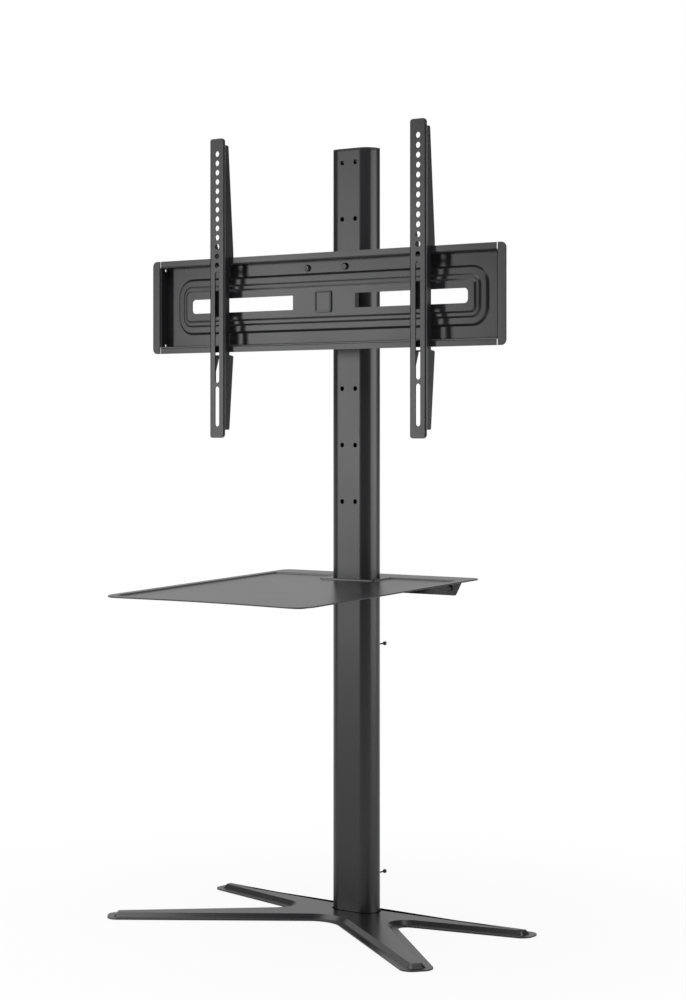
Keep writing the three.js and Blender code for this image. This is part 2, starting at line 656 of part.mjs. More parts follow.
function barBeads() {
  let front = BAR_FIELD;
  return BEADS.flatMap((bead, i) => {
    const riserBack = front + SHEET;
    front -= bead.rise;
    const inner = i + 1 < BEADS.length ? [beadOutline(i + 1, SHEET)] : [];
    const riser = prismY(beadOutline(i), [front, riserBack], [beadOutline(i, SHEET)]);
    const land = prismY(beadOutline(i), [front, front + SHEET], inner);
    return [riser, land];
  });
}

function barLips() {
  const outer = roundedOutline(barRectangle(BAR_LENGTH / 2, BAR_HEIGHT / 2, BAR_FLANGE_CORNER));
  const inner = roundedOutline(barRectangle(BAR_TRAY_HALF_LENGTH, BAR_TRAY_HALF_HEIGHT, SHEET), SHEET, 2);
  return prismY(outer, [BAR_FRONT, BAR_FRONT + SHEET], [inner]);
}

function barCornerCuts() {
  const places = [-1, 1].flatMap((sideX) => [-1, 1].map((sideZ) => [sideX, sideZ]));
  return places.flatMap(([sideX, sideZ]) => {
    const x = sideX * (BAR_TRAY_HALF_LENGTH - SHEET / 2);
    const z = BAR_CENTRE_Z + sideZ * BAR_TRAY_HALF_HEIGHT;
    const reach = z + sideZ * (BAR_LIP + OVERRUN);
    const notch = block([x - BAR_CORNER_NOTCH / 2, x + BAR_CORNER_NOTCH / 2],
      [BAR_FRONT - OVERRUN, BAR_FRONT + SHEET + OVERRUN], [Math.min(z, reach), Math.max(z, reach)]);
    const wall = [BAR_TRAY_HALF_LENGTH - 2 * SHEET, BAR_TRAY_HALF_LENGTH + SHEET].map((v) => sideX * v);
    const relief = rodAlong('x', BAR_RELIEF_RADIUS, wall.sort((a, b) => a - b),
      [0, BAR_FIELD - BAR_RELIEF_AHEAD, BAR_CENTRE_Z + sideZ * (BAR_TRAY_HALF_HEIGHT - 2 * SHEET)]);
    return [notch, relief];
  });
}

function barSlot(side) {
  const half = SLOT_HEIGHT / 2;
  const slotOuter = beadSpan(BEADS.length - 1).halfLength - SLOT_END_MARGIN;
  const corner = (x, sideZ, r) => ({ x: side * x, y: BAR_CENTRE_Z + sideZ * half, r });
  const outline = roundedOutline([corner(SLOT_INNER, -1, SLOT_INNER_RADIUS),
    corner(slotOuter, -1, SLOT_OUTER_RADIUS), corner(slotOuter, 1, SLOT_OUTER_RADIUS),
    corner(SLOT_INNER, 1, SLOT_INNER_RADIUS)]);
  return prismY(outline, [BAR_FRONT, BAR_BACK + OVERRUN]);
}

function crossbar() {
  const panel = joined([...barTray(), ...barBeads(), barLips()]);
  const screwHoles = barScrewPlaces().map(([x, z]) => rodAlong('y', BAR_SCREW_RADIUS + HOLE_PLAY,
    [BAR_FIELD - OVERRUN, BAR_BACK + OVERRUN], [x, 0, z]));
  return cut(panel, [barSlot(-1), barSlot(1), ...barCornerCuts(), ...screwHoles]);
}

function crossbarBadge() {
  const outline = roundedOutline(barRectangle(BADGE_WIDTH / 2, BADGE_HEIGHT / 2, BADGE_CORNER));
  const recess = roundedOutline(barRectangle(BADGE_WIDTH / 2, BADGE_HEIGHT / 2, BADGE_CORNER), BADGE_RIM);
  const back = BAR_CREST - GAP;
  const front = back - BADGE_THICKNESS;
  return cut(prismY(outline, [front, back]), [prismY(recess, [front - OVERRUN, front + BADGE_RECESS])]);
}

function crossbarScrew(x, z) {
  return bolt('y', [x, 0, z], BAR_FIELD - GAP, {
    radius: BAR_SCREW_RADIUS, headRadius: BAR_SCREW_HEAD_RADIUS, head: BAR_SCREW_HEAD,
    length: BAR_SCREW_LENGTH, drive: DRIVE_RADIUS,
  });
}

function addCrossbar() {
  addPiece('crossbar', crossbar(), STEEL);
  addPiece('crossbar_badge', crossbarBadge(), STEEL);
  barScrewPlaces().forEach(([x, z]) => (
    addPiece(`crossbar_screw_${x < 0 ? 'left' : 'right'}`, crossbarScrew(x, z), BOLT_STEEL)));
}

// Arms, their bridges and latches

function channelOutline(halfWidth, depth) {
  const outer = roundedOutline([
    { x: -halfWidth, y: ARM_FRONT, r: ARM_BEND }, { x: halfWidth, y: ARM_FRONT, r: ARM_BEND },
    { x: halfWidth, y: ARM_FRONT + depth, r: GAP }, { x: -halfWidth, y: ARM_FRONT + depth, r: GAP }], 0, 3);
  const bend = ARM_BEND - SHEET;
  const inner = roundedOutline([
    { x: -halfWidth + SHEET, y: ARM_FRONT + SHEET, r: bend },
    { x: halfWidth - SHEET, y: ARM_FRONT + SHEET, r: bend },
    { x: halfWidth - SHEET, y: ARM_FRONT + depth + OVERRUN, r: GAP },
    { x: -halfWidth + SHEET, y: ARM_FRONT + depth + OVERRUN, r: GAP }], 0, 3);
  return { outer, inner };
}

function armSideOutline() {
  const edge = (depth, z) => new THREE.Vector2(ARM_FRONT + depth, z);
  const seat = ARM_STAND - GAP;
  const behindLip = ARM_STAND + SHEET + GAP;
  return [
    edge(-OVERRUN, ARM_FOOT), edge(SHEET, ARM_FOOT),
    edge(SHEET, ARM_FOOT + ARM_FLANGE_BOTTOM), edge(ARM_FOOT_DEPTH, ARM_FOOT + ARM_FLANGE_BOTTOM),
    edge(ARM_ROOT_DEPTH, BAR_BOTTOM - ARM_UNDER), edge(seat, BAR_BOTTOM - ARM_UNDER),
    edge(seat, BAR_TOP + GAP), edge(behindLip, BAR_TOP + GAP),
    edge(behindLip, BAR_TOP - HOOK_TOOTH), edge(ARM_ROOT_DEPTH, BAR_TOP - HOOK_TOOTH),
    edge(ARM_ROOT_DEPTH, BAR_TOP + HOOK_TOOTH),
    edge(ARM_END_DEPTH, ARM_TOP - ARM_FLANGE_TOP), edge(SHEET, ARM_TOP - ARM_FLANGE_TOP),
    edge(SHEET, ARM_TOP), edge(-OVERRUN, ARM_TOP),
  ];
}

function armLeftFlangeRelief(x) {
  const edge = (depth, z) => new THREE.Vector2(ARM_FRONT + depth, z);
  const span = [x - ARM_WIDTH, x];
  const deep = ARM_ROOT_DEPTH + OVERRUN;
  const upper = BAR_TOP + HOOK_TOOTH;
  const under = BAR_BOTTOM - ARM_UNDER;
  return [
    prismX([edge(ARM_ROOT_DEPTH, upper), edge(deep, upper), edge(deep, ARM_TOP),
      edge(ARM_END_DEPTH, ARM_TOP), edge(ARM_END_DEPTH, upper + ARM_INNER_RAMP)], span),
    prismX([edge(deep, ARM_FOOT), edge(deep, under), edge(ARM_ROOT_DEPTH, under),
      edge(ARM_END_DEPTH, under - ARM_INNER_RAMP), edge(ARM_END_DEPTH, ARM_FOOT)], span),
  ];
}

function armSlots(x) {
  const longTop = ARM_TOP - ARM_TOP_MARGIN - ARM_HOLES * ARM_HOLE_PITCH + ARM_HOLE_RADIUS;
  const slots = [[ARM_FOOT + LONG_SLOT_BOTTOM_RISE, longTop],
    [ARM_FOOT + LOW_SLOT_BOTTOM_RISE, ARM_FOOT + LOW_SLOT_TOP_RISE]];
  return slots.map(([low, high]) => prismY(
    roundedOutline(rectangle(ARM_HOLE_RADIUS, (high - low) / 2, ARM_HOLE_RADIUS, [x, (low + high) / 2])),
    [ARM_FRONT - OVERRUN, ARM_FRONT + SHEET + OVERRUN]));
}

function armHoles(x) {
  const first = ARM_TOP - ARM_TOP_MARGIN;
  return Array.from({ length: ARM_HOLES }, (_, i) => rodAlong('y', ARM_HOLE_RADIUS,
    [ARM_FRONT - OVERRUN, ARM_FRONT + SHEET + OVERRUN], [x, 0, first - i * ARM_HOLE_PITCH]));
}

function arm(x) {
  const half = ARM_WIDTH / 2;
  const { outer, inner } = channelOutline(half, ARM_ROOT_DEPTH + OVERRUN);
  const shift = (outline) => outline.map((p) => new THREE.Vector2(p.x + x, p.y));
  const channel = prismZ(shift(outer), [ARM_FOOT, ARM_TOP]).subtract(
    prismZ(shift(inner), [ARM_FOOT - OVERRUN, ARM_TOP + OVERRUN]));
  const side = prismX(armSideOutline(), [x - half - OVERRUN, x + half + OVERRUN]);
  const face = prismY(roundedOutline(rectangle(half, ARM_LENGTH / 2, ARM_END_CORNER,
    [x, (ARM_FOOT + ARM_TOP) / 2])), [ARM_FRONT - OVERRUN, ARM_FRONT + ARM_ROOT_DEPTH + OVERRUN]);
  const { y, z } = latchPinPlace();
  const pinHole = rodAlong('x', LATCH_PIN_RADIUS + HOLE_PLAY, [x - ARM_WIDTH, x + ARM_WIDTH], [0, y, z]);
  return cut(channel.intersect(side).intersect(face),
    [...armLeftFlangeRelief(x), ...armHoles(x), ...armSlots(x), pinHole]);
}

function latchPinPlace() {
  return { y: LATCH_FRONT + LATCH_EAR_DEPTH / 2, z: LATCH_TOP - LATCH_PIN_DROP };
}

function armBridge(x) {
  const half = ARM_WIDTH / 2 - SHEET - GAP;
  const front = ARM_FRONT + SHEET + BRIDGE_SET_BACK - BRIDGE_EAR;
  const back = ARM_FRONT + SHEET + BRIDGE_SET_BACK + SHEET;
  const middle = BAR_CENTRE_Z + BRIDGE_RISE;
  const heights = [middle - BRIDGE_HEIGHT / 2, middle + BRIDGE_HEIGHT / 2];
  const web = block([x - half, x + half], [back - SHEET, back], heights);
  const ears = [[x - half, x - half + SHEET], [x + half - SHEET, x + half]].map((span) => (
    block(span, [front, back], heights)));
  return joined([web, ...ears]);
}

function armLatch(x) {
  const half = ARM_WIDTH / 2 - SHEET - GAP;
  const catchBar = block([x - half, x + half],
    [LATCH_FRONT + LATCH_BAR_SET_BACK, ARM_FRONT + ARM_ROOT_DEPTH - SHEET], [LATCH_TOP - LATCH_BAR, LATCH_TOP]);
  const ears = [[x - half, x - half + SHEET], [x + half - SHEET, x + half]].map((span) => (
    block(span, [LATCH_FRONT, LATCH_FRONT + LATCH_EAR_DEPTH], [LATCH_TOP - LATCH_EAR_LENGTH, LATCH_TOP])));
  const { y, z } = latchPinPlace();
  const slotHalf = LATCH_PIN_RADIUS + GAP;
  const slot = prismX(roundedOutline(rectangle(slotHalf, LATCH_TRAVEL / 2 + slotHalf, slotHalf,
    [y, z + LATCH_TRAVEL / 2])), [x - ARM_WIDTH, x + ARM_WIDTH]);
  return cut(joined([catchBar, ...ears]), [slot]);
}

function latchPin(x) {
  const { y, z } = latchPinPlace();
  const seat = ARM_WIDTH / 2 + GAP;
  const end = seat + LATCH_PIN_HEAD;
  const shank = rodAlong('x', LATCH_PIN_RADIUS, [x - end, x + end], [0, y, z]);
  const heads = [[x - end, x - seat], [x + seat, x + end]];
  return joined([shank, ...heads.map((span) => rodAlong('x', LATCH_PIN_HEAD_RADIUS, span, [0, y, z]))]);
}

function addArms() {
  const sides = { left: -ARM_PLACE, right: ARM_PLACE };
  Object.entries(sides).forEach(([side, x]) => {
    addPiece(`arm_${side}`, arm(x), STEEL);
    addPiece(`arm_bridge_${side}`, armBridge(x), STEEL);
    addPiece(`arm_latch_${side}`, armLatch(x), DARK_STEEL);
    addPiece(`latch_pin_${side}`, latchPin(x), BOLT_STEEL);
  });
}

// Shelf: made flat about its own level, then tilted to the front with its bracket

function shelfCorners() {
  const half = SHELF_WIDTH / 2;
  return [
    { x: -half, y: -SHELF_FRONT, r: SHELF_FRONT_RADIUS },
    { x: 0, y: -SHELF_FRONT + SHELF_FRONT_SETBACK, r: SHELF_FRONT_SWEEP },
    { x: half, y: -SHELF_FRONT, r: SHELF_FRONT_RADIUS },
    { x: half, y: SHELF_REAR, r: SHELF_REAR_RADIUS }, { x: -half, y: SHELF_REAR, r: SHELF_REAR_RADIUS },
  ];
}

function recessCorners() {
  const half = SHELF_WIDTH / 2 - SHELF_RIM;
  const land = SHELF_LAND_WIDTH / 2;
  const rear = SHELF_REAR - SHELF_REAR_RIM;
  const frontRadius = SHELF_FRONT_RADIUS - SHELF_RIM;
  return [
    { x: -half, y: -SHELF_FRONT + SHELF_RIM, r: frontRadius },
    { x: 0, y: -SHELF_FRONT + SHELF_FRONT_SETBACK + SHELF_RIM, r: SHELF_FRONT_SWEEP },
    { x: half, y: -SHELF_FRONT + SHELF_RIM, r: frontRadius },
    { x: half, y: rear, r: SHELF_RECESS_RADIUS }, { x: land, y: rear, r: SHELF_LAND_RADIUS },
    { x: land, y: -SHELF_LAND_FRONT, r: SHELF_LAND_RADIUS },
    { x: -land, y: -SHELF_LAND_FRONT, r: SHELF_LAND_RADIUS },
    { x: -land, y: rear, r: SHELF_LAND_RADIUS }, { x: -half, y: rear, r: SHELF_RECESS_RADIUS },
  ];
}

function postOpening(depth) {
  const outline = roundedOutline(rectangle(POST_WIDTH / 2, POST_DEPTH / 2, POST_CORNER), -SHELF_POST_PLAY);
  return prismZ(outline, depth);
}

function tiltedWithShelf(body) {
  const level = SHELF_LEVEL;
  return body.translate([0, 0, -level]).rotate([SHELF_SLOPE_DEGREES, 0, 0]).translate([0, 0, level]);
}

function shelfPlate() {
  const top = SHELF_LEVEL;
  const corners = recessCorners();
  const outline = roundedOutline(shelfCorners(), 0, TIP_STEPS);
  const plate = prismZ(outline, [top - SHEET, top]);
  const ring = (inset, z) => ({ outline: roundedOutline(corners, inset), z });
  const floor = top - SHELF_RIM_RISE;
  const pan = loft([ring(0, floor - SHEET), ring(-SHEET / 2, top)]);
  const hollow = loft([ring(SHELF_RECESS_RUN, floor), ring(0, top), ring(0, top + OVERRUN)]);
  const skirt = prismY(flangeOutline(top - SHEET / 2, SHELF_SKIRT_INSET),
    [BRACKET_BACK + GAP, BRACKET_BACK + GAP + SHEET]);
  const body = cut(joined([plate, pan, skirt]), [hollow, ...shelfScrewHoles()]);
  return cut(tiltedWithShelf(body), [postOpening([top - SHELF_REAR, top + SHELF_REAR])]);
}

function flangeOutline(top, inset = 0) {
  const foot = SHELF_LEVEL - SHEET - GAP - BRACKET_HEIGHT + inset;
  const footHalf = BRACKET_FOOT_WIDTH / 2 - inset;
  const topHalf = BRACKET_TOP_WIDTH / 2 - inset;
  return roundedOutline([
    { x: -footHalf, y: foot, r: BRACKET_SHEET }, { x: footHalf, y: foot, r: BRACKET_SHEET },
    { x: topHalf, y: top, r: GAP }, { x: -topHalf, y: top, r: GAP }], 0, 4);
}

function shelfScrewHoles() {
  return shelfScrewPlaces().map(([x, z]) => rodAlong('y', SHELF_SCREW_RADIUS + HOLE_PLAY,
    [BRACKET_BACK - BRACKET_SHEET - OVERRUN, BRACKET_BACK + SHEET + OVERRUN], [x, 0, z]));
}

function shelfScrewPlaces() {
  const z = SHELF_LEVEL - SHEET - GAP - SHELF_SCREW_DROP;
  return [-1, 1].map((side) => [side * SHELF_SCREW_PLACE, z]);
}

function shelfBracket() {
  const top = SHELF_LEVEL - SHEET - GAP;
  const half = BRACKET_TOP_WIDTH / 2;
  const flange = prismY(flangeOutline(top), [BRACKET_BACK - BRACKET_SHEET, BRACKET_BACK]);
  const ledge = block([-half, half], [BRACKET_BACK - BRACKET_LEDGE, BRACKET_BACK],
    [top - BRACKET_SHEET, top]);
  const inner = POST_WIDTH / 2 + GAP;
  const cheeks = [[-inner - BRACKET_SHEET, -inner], [inner, inner + BRACKET_SHEET]].map((span) => (
    block(span, [-BRACKET_CHEEK_FRONT, BRACKET_BACK - BRACKET_SHEET / 2], [top - BRACKET_HEIGHT, top])));
  const flat = cut(joined([flange, ledge, ...cheeks]), shelfScrewHoles());
  return cut(tiltedWithShelf(flat), shelfBoltHoles());
}

function shelfScrew(x, z) {
  const screw = bolt('y', [x, 0, z], BRACKET_BACK - BRACKET_SHEET - GAP, {
    radius: SHELF_SCREW_RADIUS, headRadius: SHELF_SCREW_HEAD_RADIUS, head: SHELF_SCREW_HEAD,
    length: SHELF_SCREW_LENGTH, drive: DRIVE_RADIUS,
  });
  return tiltedWithShelf(screw);
}

function addShelf() {
  addPiece('shelf_plate', shelfPlate(), STEEL);
  addPiece('shelf_bracket', shelfBracket(), STEEL);
  shelfScrewPlaces().forEach(([x, z]) => (
    addPiece(`shelf_screw_${x < 0 ? 'left' : 'right'}`, shelfScrew(x, z), BOLT_STEEL)));
  const seat = POST_WIDTH / 2 + 2 * GAP + BRACKET_SHEET;
  Object.entries(shelfBoltHeights()).forEach(([place, z]) => {
    addPiece(`shelf_bolt_${place}`, bolt('x', [0, 0, z], -seat, {
      radius: SHELF_BOLT_RADIUS, headRadius: SHELF_BOLT_HEAD_RADIUS, head: SHELF_BOLT_HEAD,
      length: 2 * seat + SHELF_BOLT_TAIL, sides: 6,
    }), BOLT_STEEL);
    const nut = rodAlong('x', SHELF_NUT_RADIUS, [seat, seat + SHELF_NUT_THICKNESS], [0, 0, z], 6);
    const bore = rodAlong('x', SHELF_BOLT_RADIUS + HOLE_PLAY, [0, 2 * seat], [0, 0, z]);
    addPiece(`shelf_nut_${place}`, cut(nut, [bore]), BOLT_STEEL);
  });
}

// Cable pegs and their plugs

function pegPlug(z) {
  const back = POST_DEPTH / 2;
  const plug = joined([
    rodAlong('y', PEG_PLUG_HEAD_RADIUS, [back + GAP, back + GAP + PEG_PLUG_HEAD], [0, 0, z], HEAD_SIDES),
    rodAlong('y', PEG_PLUG_RADIUS, [back - PEG_PLUG_DEPTH, back + GAP + PEG_PLUG_HEAD / 2], [0, 0, z]),
  ]);
  return cut(plug, [rodAlong('y', PEG_RADIUS + GAP, [back - PEG_PLUG_DEPTH - OVERRUN,
    back + PEG_PLUG_HEAD + OVERRUN], [0, 0, z])]);
}

function cablePeg(z) {
  const back = POST_DEPTH / 2;
  const tip = back + PEG_LENGTH;
  const ball = new THREE.SphereGeometry(PEG_BALL_RADIUS, HEAD_SIDES, HEAD_SIDES / 2);
  return rodAlong('y', PEG_RADIUS, [back - PEG_PLUG_DEPTH, tip], [0, 0, z])
    .add(solid(ball.translate(0, tip, z)));
}

function addPegs() {
  Object.entries(PEG_HEIGHTS).forEach(([place, z]) => {
    addPiece(`peg_plug_${place}`, pegPlug(z), PLASTIC);
    addPiece(`cable_peg_${place}`, cablePeg(z), BOLT_STEEL);
  });
}

addBase();
addPost();
addAdapter();
addCrossbar();
addArms();
addShelf();
addPegs();

const footprint = new THREE.Box3().setFromObject(model);
model.position.y = -(footprint.min.y + footprint.max.y) / 2;

export default model;
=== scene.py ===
"""Dresses the floor stand: pressed base, post, crossbar, two sliding arms, shelf and cable pegs.

Sizes are in millimetres, measured from the floor and the post's axis, and turned to metres where a
mesh is made. The screen side faces -Y.
"""

import logging
import math
from collections.abc import Callable, Iterable, Sequence
from dataclasses import dataclass
from enum import Enum
from typing import Any

import bmesh
import bpy
from mathutils import Matrix, Vector

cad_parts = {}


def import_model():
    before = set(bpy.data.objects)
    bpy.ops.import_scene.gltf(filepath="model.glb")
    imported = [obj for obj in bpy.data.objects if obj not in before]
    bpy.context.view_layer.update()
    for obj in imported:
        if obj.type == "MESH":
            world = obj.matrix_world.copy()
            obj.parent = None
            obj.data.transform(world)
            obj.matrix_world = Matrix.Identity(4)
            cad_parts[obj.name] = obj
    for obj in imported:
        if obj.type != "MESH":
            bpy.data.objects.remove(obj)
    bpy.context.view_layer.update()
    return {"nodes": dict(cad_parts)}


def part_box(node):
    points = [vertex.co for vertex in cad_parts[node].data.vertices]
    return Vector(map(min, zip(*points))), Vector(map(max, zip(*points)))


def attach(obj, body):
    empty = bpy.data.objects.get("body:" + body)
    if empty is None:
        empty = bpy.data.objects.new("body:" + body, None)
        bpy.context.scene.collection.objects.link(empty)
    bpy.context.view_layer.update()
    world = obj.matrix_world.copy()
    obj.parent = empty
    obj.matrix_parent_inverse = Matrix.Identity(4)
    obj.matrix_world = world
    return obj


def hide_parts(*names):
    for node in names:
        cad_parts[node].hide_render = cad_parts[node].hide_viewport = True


log = logging.getLogger("floor_stand")

MM = 0.001
DOUBLES = 1e-6  # vertices closer than this are one, in metres
PHOTO_HEIGHT = 1000

# Sizes that more than one sub-assembly shares, in millimetres.
SEAT_GAP = 0.3  # between pieces that are pressed, bolted or welded together
HAIR = 0.01  # keeps two walls or two points of a tool apart
BOLT_HOLE = 3.35  # radius of the clearance hole for a 6 mm bolt
SCREW_HOLE = 2.85  # radius of the clearance hole for a 5 mm screw
POST_HALF = (39.0, 20.0)
POST_RADIUS = 19.5
PEG_HEIGHTS = {"upper": 406.5, "lower": 55.6}
MOUNT_SCREW = (35.5, 977.8)  # how far off the middle the two screws are, and how high

WHITE = (1.0, 1.0, 1.0, 1.0)

# Sockets of a Mix node that mixes colours.
MIX_A, MIX_B, MIX_RESULT = 6, 7, 2


class Facing(Enum):
    """The plane an outline is drawn on: lying flat, upright across, or upright along the side."""

    FLAT = "flat"
    UPRIGHT = "upright"
    SIDE = "side"

    def placing(self, low: float, high: float) -> Matrix:
        """Gives the matrix that takes a prism drawn on local XY, grown along local Z, to its place.

        Args:
            low: Lower end of the prism along its own axis, in millimetres.
            high: Upper end of the prism along its own axis, in millimetres.

        Returns:
            The placing matrix, in metres.
        """
        if self is Facing.FLAT:
            return Matrix.Translation((0, 0, low * MM))
        if self is Facing.UPRIGHT:
            turn = Matrix(((1, 0, 0, 0), (0, 0, -1, 0), (0, 1, 0, 0), (0, 0, 0, 1)))
            return Matrix.Translation((0, high * MM, 0)) @ turn
        turn = Matrix(((0, 0, 1, 0), (1, 0, 0, 0), (0, 1, 0, 0), (0, 0, 0, 1)))
        return Matrix.Translation((low * MM, 0, 0)) @ turn


class Axis(Enum):
    """A row axis, with the turn that lays a cylinder along it."""

    X = (0.0, math.pi / 2, 0.0)
    Y = (math.pi / 2, 0.0, 0.0)
    Z = (0.0, 0.0, 0.0)


class Carve(Enum):
    """What a tool does to the body that it meets."""

    CUT = "DIFFERENCE"
    WELD = "UNION"
    KEEP = "INTERSECT"


class Side(Enum):
    """Left or right of a viewer who faces the screen."""

    LEFT = -1
    RIGHT = 1

    @property
    def word(self) -> str:
        """The side's name as the pieces carry it."""
        return self.name.lower()


@dataclass(frozen=True)
class Corner:
    """One corner of an outline, with the radius that rounds it."""

    x: float
    y: float
    r: float = 0.0


# Modelling steps


def clear_selection() -> None:
    """Leaves edit mode and deselects everything."""
    if bpy.context.mode != "OBJECT":
        bpy.ops.object.mode_set(mode="OBJECT")
    bpy.ops.object.select_all(action="DESELECT")


def take_up(body: bpy.types.Object) -> None:
    """Makes one object the only selected and the active one.

    Args:
        body: The object to work on.
    """
    clear_selection()
    body.select_set(True)
    bpy.context.view_layer.objects.active = body


def open_mesh(body: bpy.types.Object, mode: str = "FACE", action: str = "DESELECT") -> None:
    """Opens an object's mesh in edit mode with nothing or all of it selected.

    Args:
        body: The object to open.
        mode: VERT, EDGE or FACE.
        action: DESELECT for nothing, SELECT for all.
    """
    take_up(body)
    bpy.ops.object.mode_set(mode="EDIT")
    bpy.ops.mesh.select_mode(type=mode)
    bpy.ops.mesh.select_all(action=action)


def close_mesh() -> None:
    """Makes the open mesh's faces point outwards and leaves edit mode."""
    bpy.ops.mesh.select_all(action="SELECT")
    bpy.ops.mesh.normals_make_consistent(inside=False)
    bpy.ops.object.mode_set(mode="OBJECT")


def pick(body: bpy.types.Object, kind: str, test: Callable[[Any], bool]) -> None:
    """Selects the vertices, edges or faces of the open mesh that pass a test, and nothing else.

    Args:
        body: The object whose mesh is open.
        kind: verts, edges or faces.
        test: Says whether an element is wanted.
    """
    bpy.ops.mesh.select_all(action="DESELECT")
    mesh = bmesh.from_edit_mesh(body.data)
    chosen = [element for element in getattr(mesh, kind) if test(element)]
    for element in chosen:
        element.select_set(True)
    bmesh.update_edit_mesh(body.data)


def lift(height: float) -> None:
    """Extrudes what is selected straight along Z, by a height in millimetres."""
    bpy.ops.mesh.extrude_region_move(TRANSFORM_OT_translate={"value": (0, 0, height * MM)})


def step_in(inset: float, rise: float = 0.0) -> None:
    """Insets the selected face and raises what is left of it, both in millimetres."""
    bpy.ops.mesh.inset(thickness=inset * MM, depth=0, use_even_offset=True)
    bpy.ops.transform.translate(value=(0, 0, rise * MM))


def named(name: str) -> bpy.types.Object:
    """Names the active object and its mesh.

    Args:
        name: The new name.

    Returns:
        The active object.
    """
    body = bpy.context.active_object
    body.name = name
    body.data.name = name
    return body


def bake_place(body: bpy.types.Object, placing: Matrix) -> bpy.types.Object:
    """Moves an object by a matrix and puts the move into its mesh.

    Args:
        body: The object to move.
        placing: The move, in metres.

    Returns:
        The same object, at the origin again.
    """
    take_up(body)
    body.matrix_world = placing @ body.matrix_world
    bpy.ops.object.transform_apply(location=True, rotation=True, scale=True)
    return body


def draw_outline(name: str, corners: Sequence[Corner], segments: int = 8) -> bpy.types.Object:
    """Draws a flat face with rounded corners on the XY plane, looking up.

    Args:
        name: The new object's name.
        corners: The outline's corners in order.
        segments: Steps in each rounded corner.

    Returns:
        The face as an object.
    """
    clear_selection()
    bpy.ops.mesh.primitive_circle_add(vertices=len(corners), radius=1.0, fill_type="NGON")
    body = named(name)
    open_mesh(body, "VERT")
    for index, corner in enumerate(corners):
        mesh = bmesh.from_edit_mesh(body.data)
        mesh.verts.ensure_lookup_table()
        here = mesh.verts[index].co.copy()
        pick(body, "verts", lambda vertex, wanted=index: vertex.index == wanted)
        goal = Vector((corner.x * MM, corner.y * MM, 0.0))
        bpy.ops.transform.translate(value=goal - here)
    for index, corner in enumerate(corners):
        before = corners[index - 1]
        after = corners[(index + 1) % len(corners)]
        if corner.r > 0:
            round_corner(body, before, corner, after, segments)
    mesh = bmesh.from_edit_mesh(body.data)
    mesh.faces.ensure_lookup_table()
    mesh.normal_update()
    looks_down = mesh.faces[0].normal.z < 0
    if looks_down:
        bpy.ops.mesh.select_mode(type="FACE")
        bpy.ops.mesh.select_all(action="SELECT")
        bpy.ops.mesh.flip_normals()
    bpy.ops.object.mode_set(mode="OBJECT")
    return body


def round_corner(body: bpy.types.Object, before: Corner, here: Corner, after: Corner,
                 segments: int) -> None:
    """Rounds one corner of an open outline to its radius.

    Args:
        body: The outline, open in edit mode.
        before: The corner before this one.
        here: The corner to round.
        after: The corner after this one.
        segments: Steps in the rounded corner.
    """
    into = Vector((here.x - before.x, here.y - before.y)).normalized()
    out = Vector((after.x - here.x, after.y - here.y)).normalized()
    turn = into.angle(out)
    setback = here.r * math.tan(turn / 2)
    spot = Vector((here.x * MM, here.y * MM, 0.0))
    pick(body, "verts", lambda vertex: (vertex.co - spot).length < DOUBLES)
    bpy.ops.mesh.bevel(offset=setback * MM, segments=segments, profile=0.5, affect="VERTICES",
                       clamp_overlap=False)


def rectangle(half_x: float, half_y: float, r: float = 0.0,
              middle: tuple[float, float] = (0.0, 0.0)) -> list[Corner]:
    """Gives a rectangle's four corners in order.

    Args:
        half_x: Half its width.
        half_y: Half its height.
        r: Radius of its corners.
        middle: Its middle.

    Returns:
        The corners, anticlockwise.
    """
    return [Corner(middle[0] + sx * half_x, middle[1] + sy * half_y, r)
            for sx, sy in ((-1, -1), (1, -1), (1, 1), (-1, 1))]


def mirrored(corners: Sequence[Corner]) -> list[Corner]:
    """Gives corners on the other side of the middle, in reverse order."""
    return [Corner(-c.x, c.y, c.r) for c in reversed(corners)]


def prism(name: str, corners: Sequence[Corner], low: float, high: float, facing: Facing,
          segments: int = 8) -> bpy.types.Object:
    """Extrudes a rounded outline between two planes.

    Args:
        name: The new object's name.
        corners: The outline's corners in order.
        low: Lower plane along the prism's axis.
        high: Upper plane along the prism's axis.
        facing: The plane that the outline lies on.
        segments: Steps in each rounded corner.

    Returns:
        The closed prism.
    """
    body = draw_outline(name, corners, segments)
    open_mesh(body, action="SELECT")
    lift(high - low)
    close_mesh()
    return bake_place(body, facing.placing(low, high))


def slab(name: str, low: Sequence[float], high: Sequence[float]) -> bpy.types.Object:
    """Makes a plain block between two corners, used only as a tool or a start.

    Args:
        name: The new object's name.
        low: Its lowest corner.
        high: Its highest corner.

    Returns:
        The block.
    """
    clear_selection()
    middle = [(a + b) / 2 * MM for a, b in zip(low, high)]
    size = [(b - a) * MM for a, b in zip(low, high)]
    bpy.ops.mesh.primitive_cube_add(size=1.0, location=middle, scale=size)
    body = named(name)
    bpy.ops.object.transform_apply(location=True, rotation=True, scale=True)
    return body


def rod(name: str, axis: Axis, radius: float, middle: Sequence[float], length: float,
        sides: int = 32) -> bpy.types.Object:
    """Makes a round rod along one axis.

    Args:
        name: The new object's name.
        axis: The axis that it lies along.
        radius: Its radius.
        middle: Its middle.
        length: Its length.
        sides: Faces round it.

    Returns:
        The rod.
    """
    clear_selection()
    bpy.ops.mesh.primitive_cylinder_add(vertices=sides, radius=radius * MM, depth=length * MM,
                                        location=[v * MM for v in middle], rotation=axis.value)
    body = named(name)
    bpy.ops.object.transform_apply(location=True, rotation=True, scale=True)
    return body


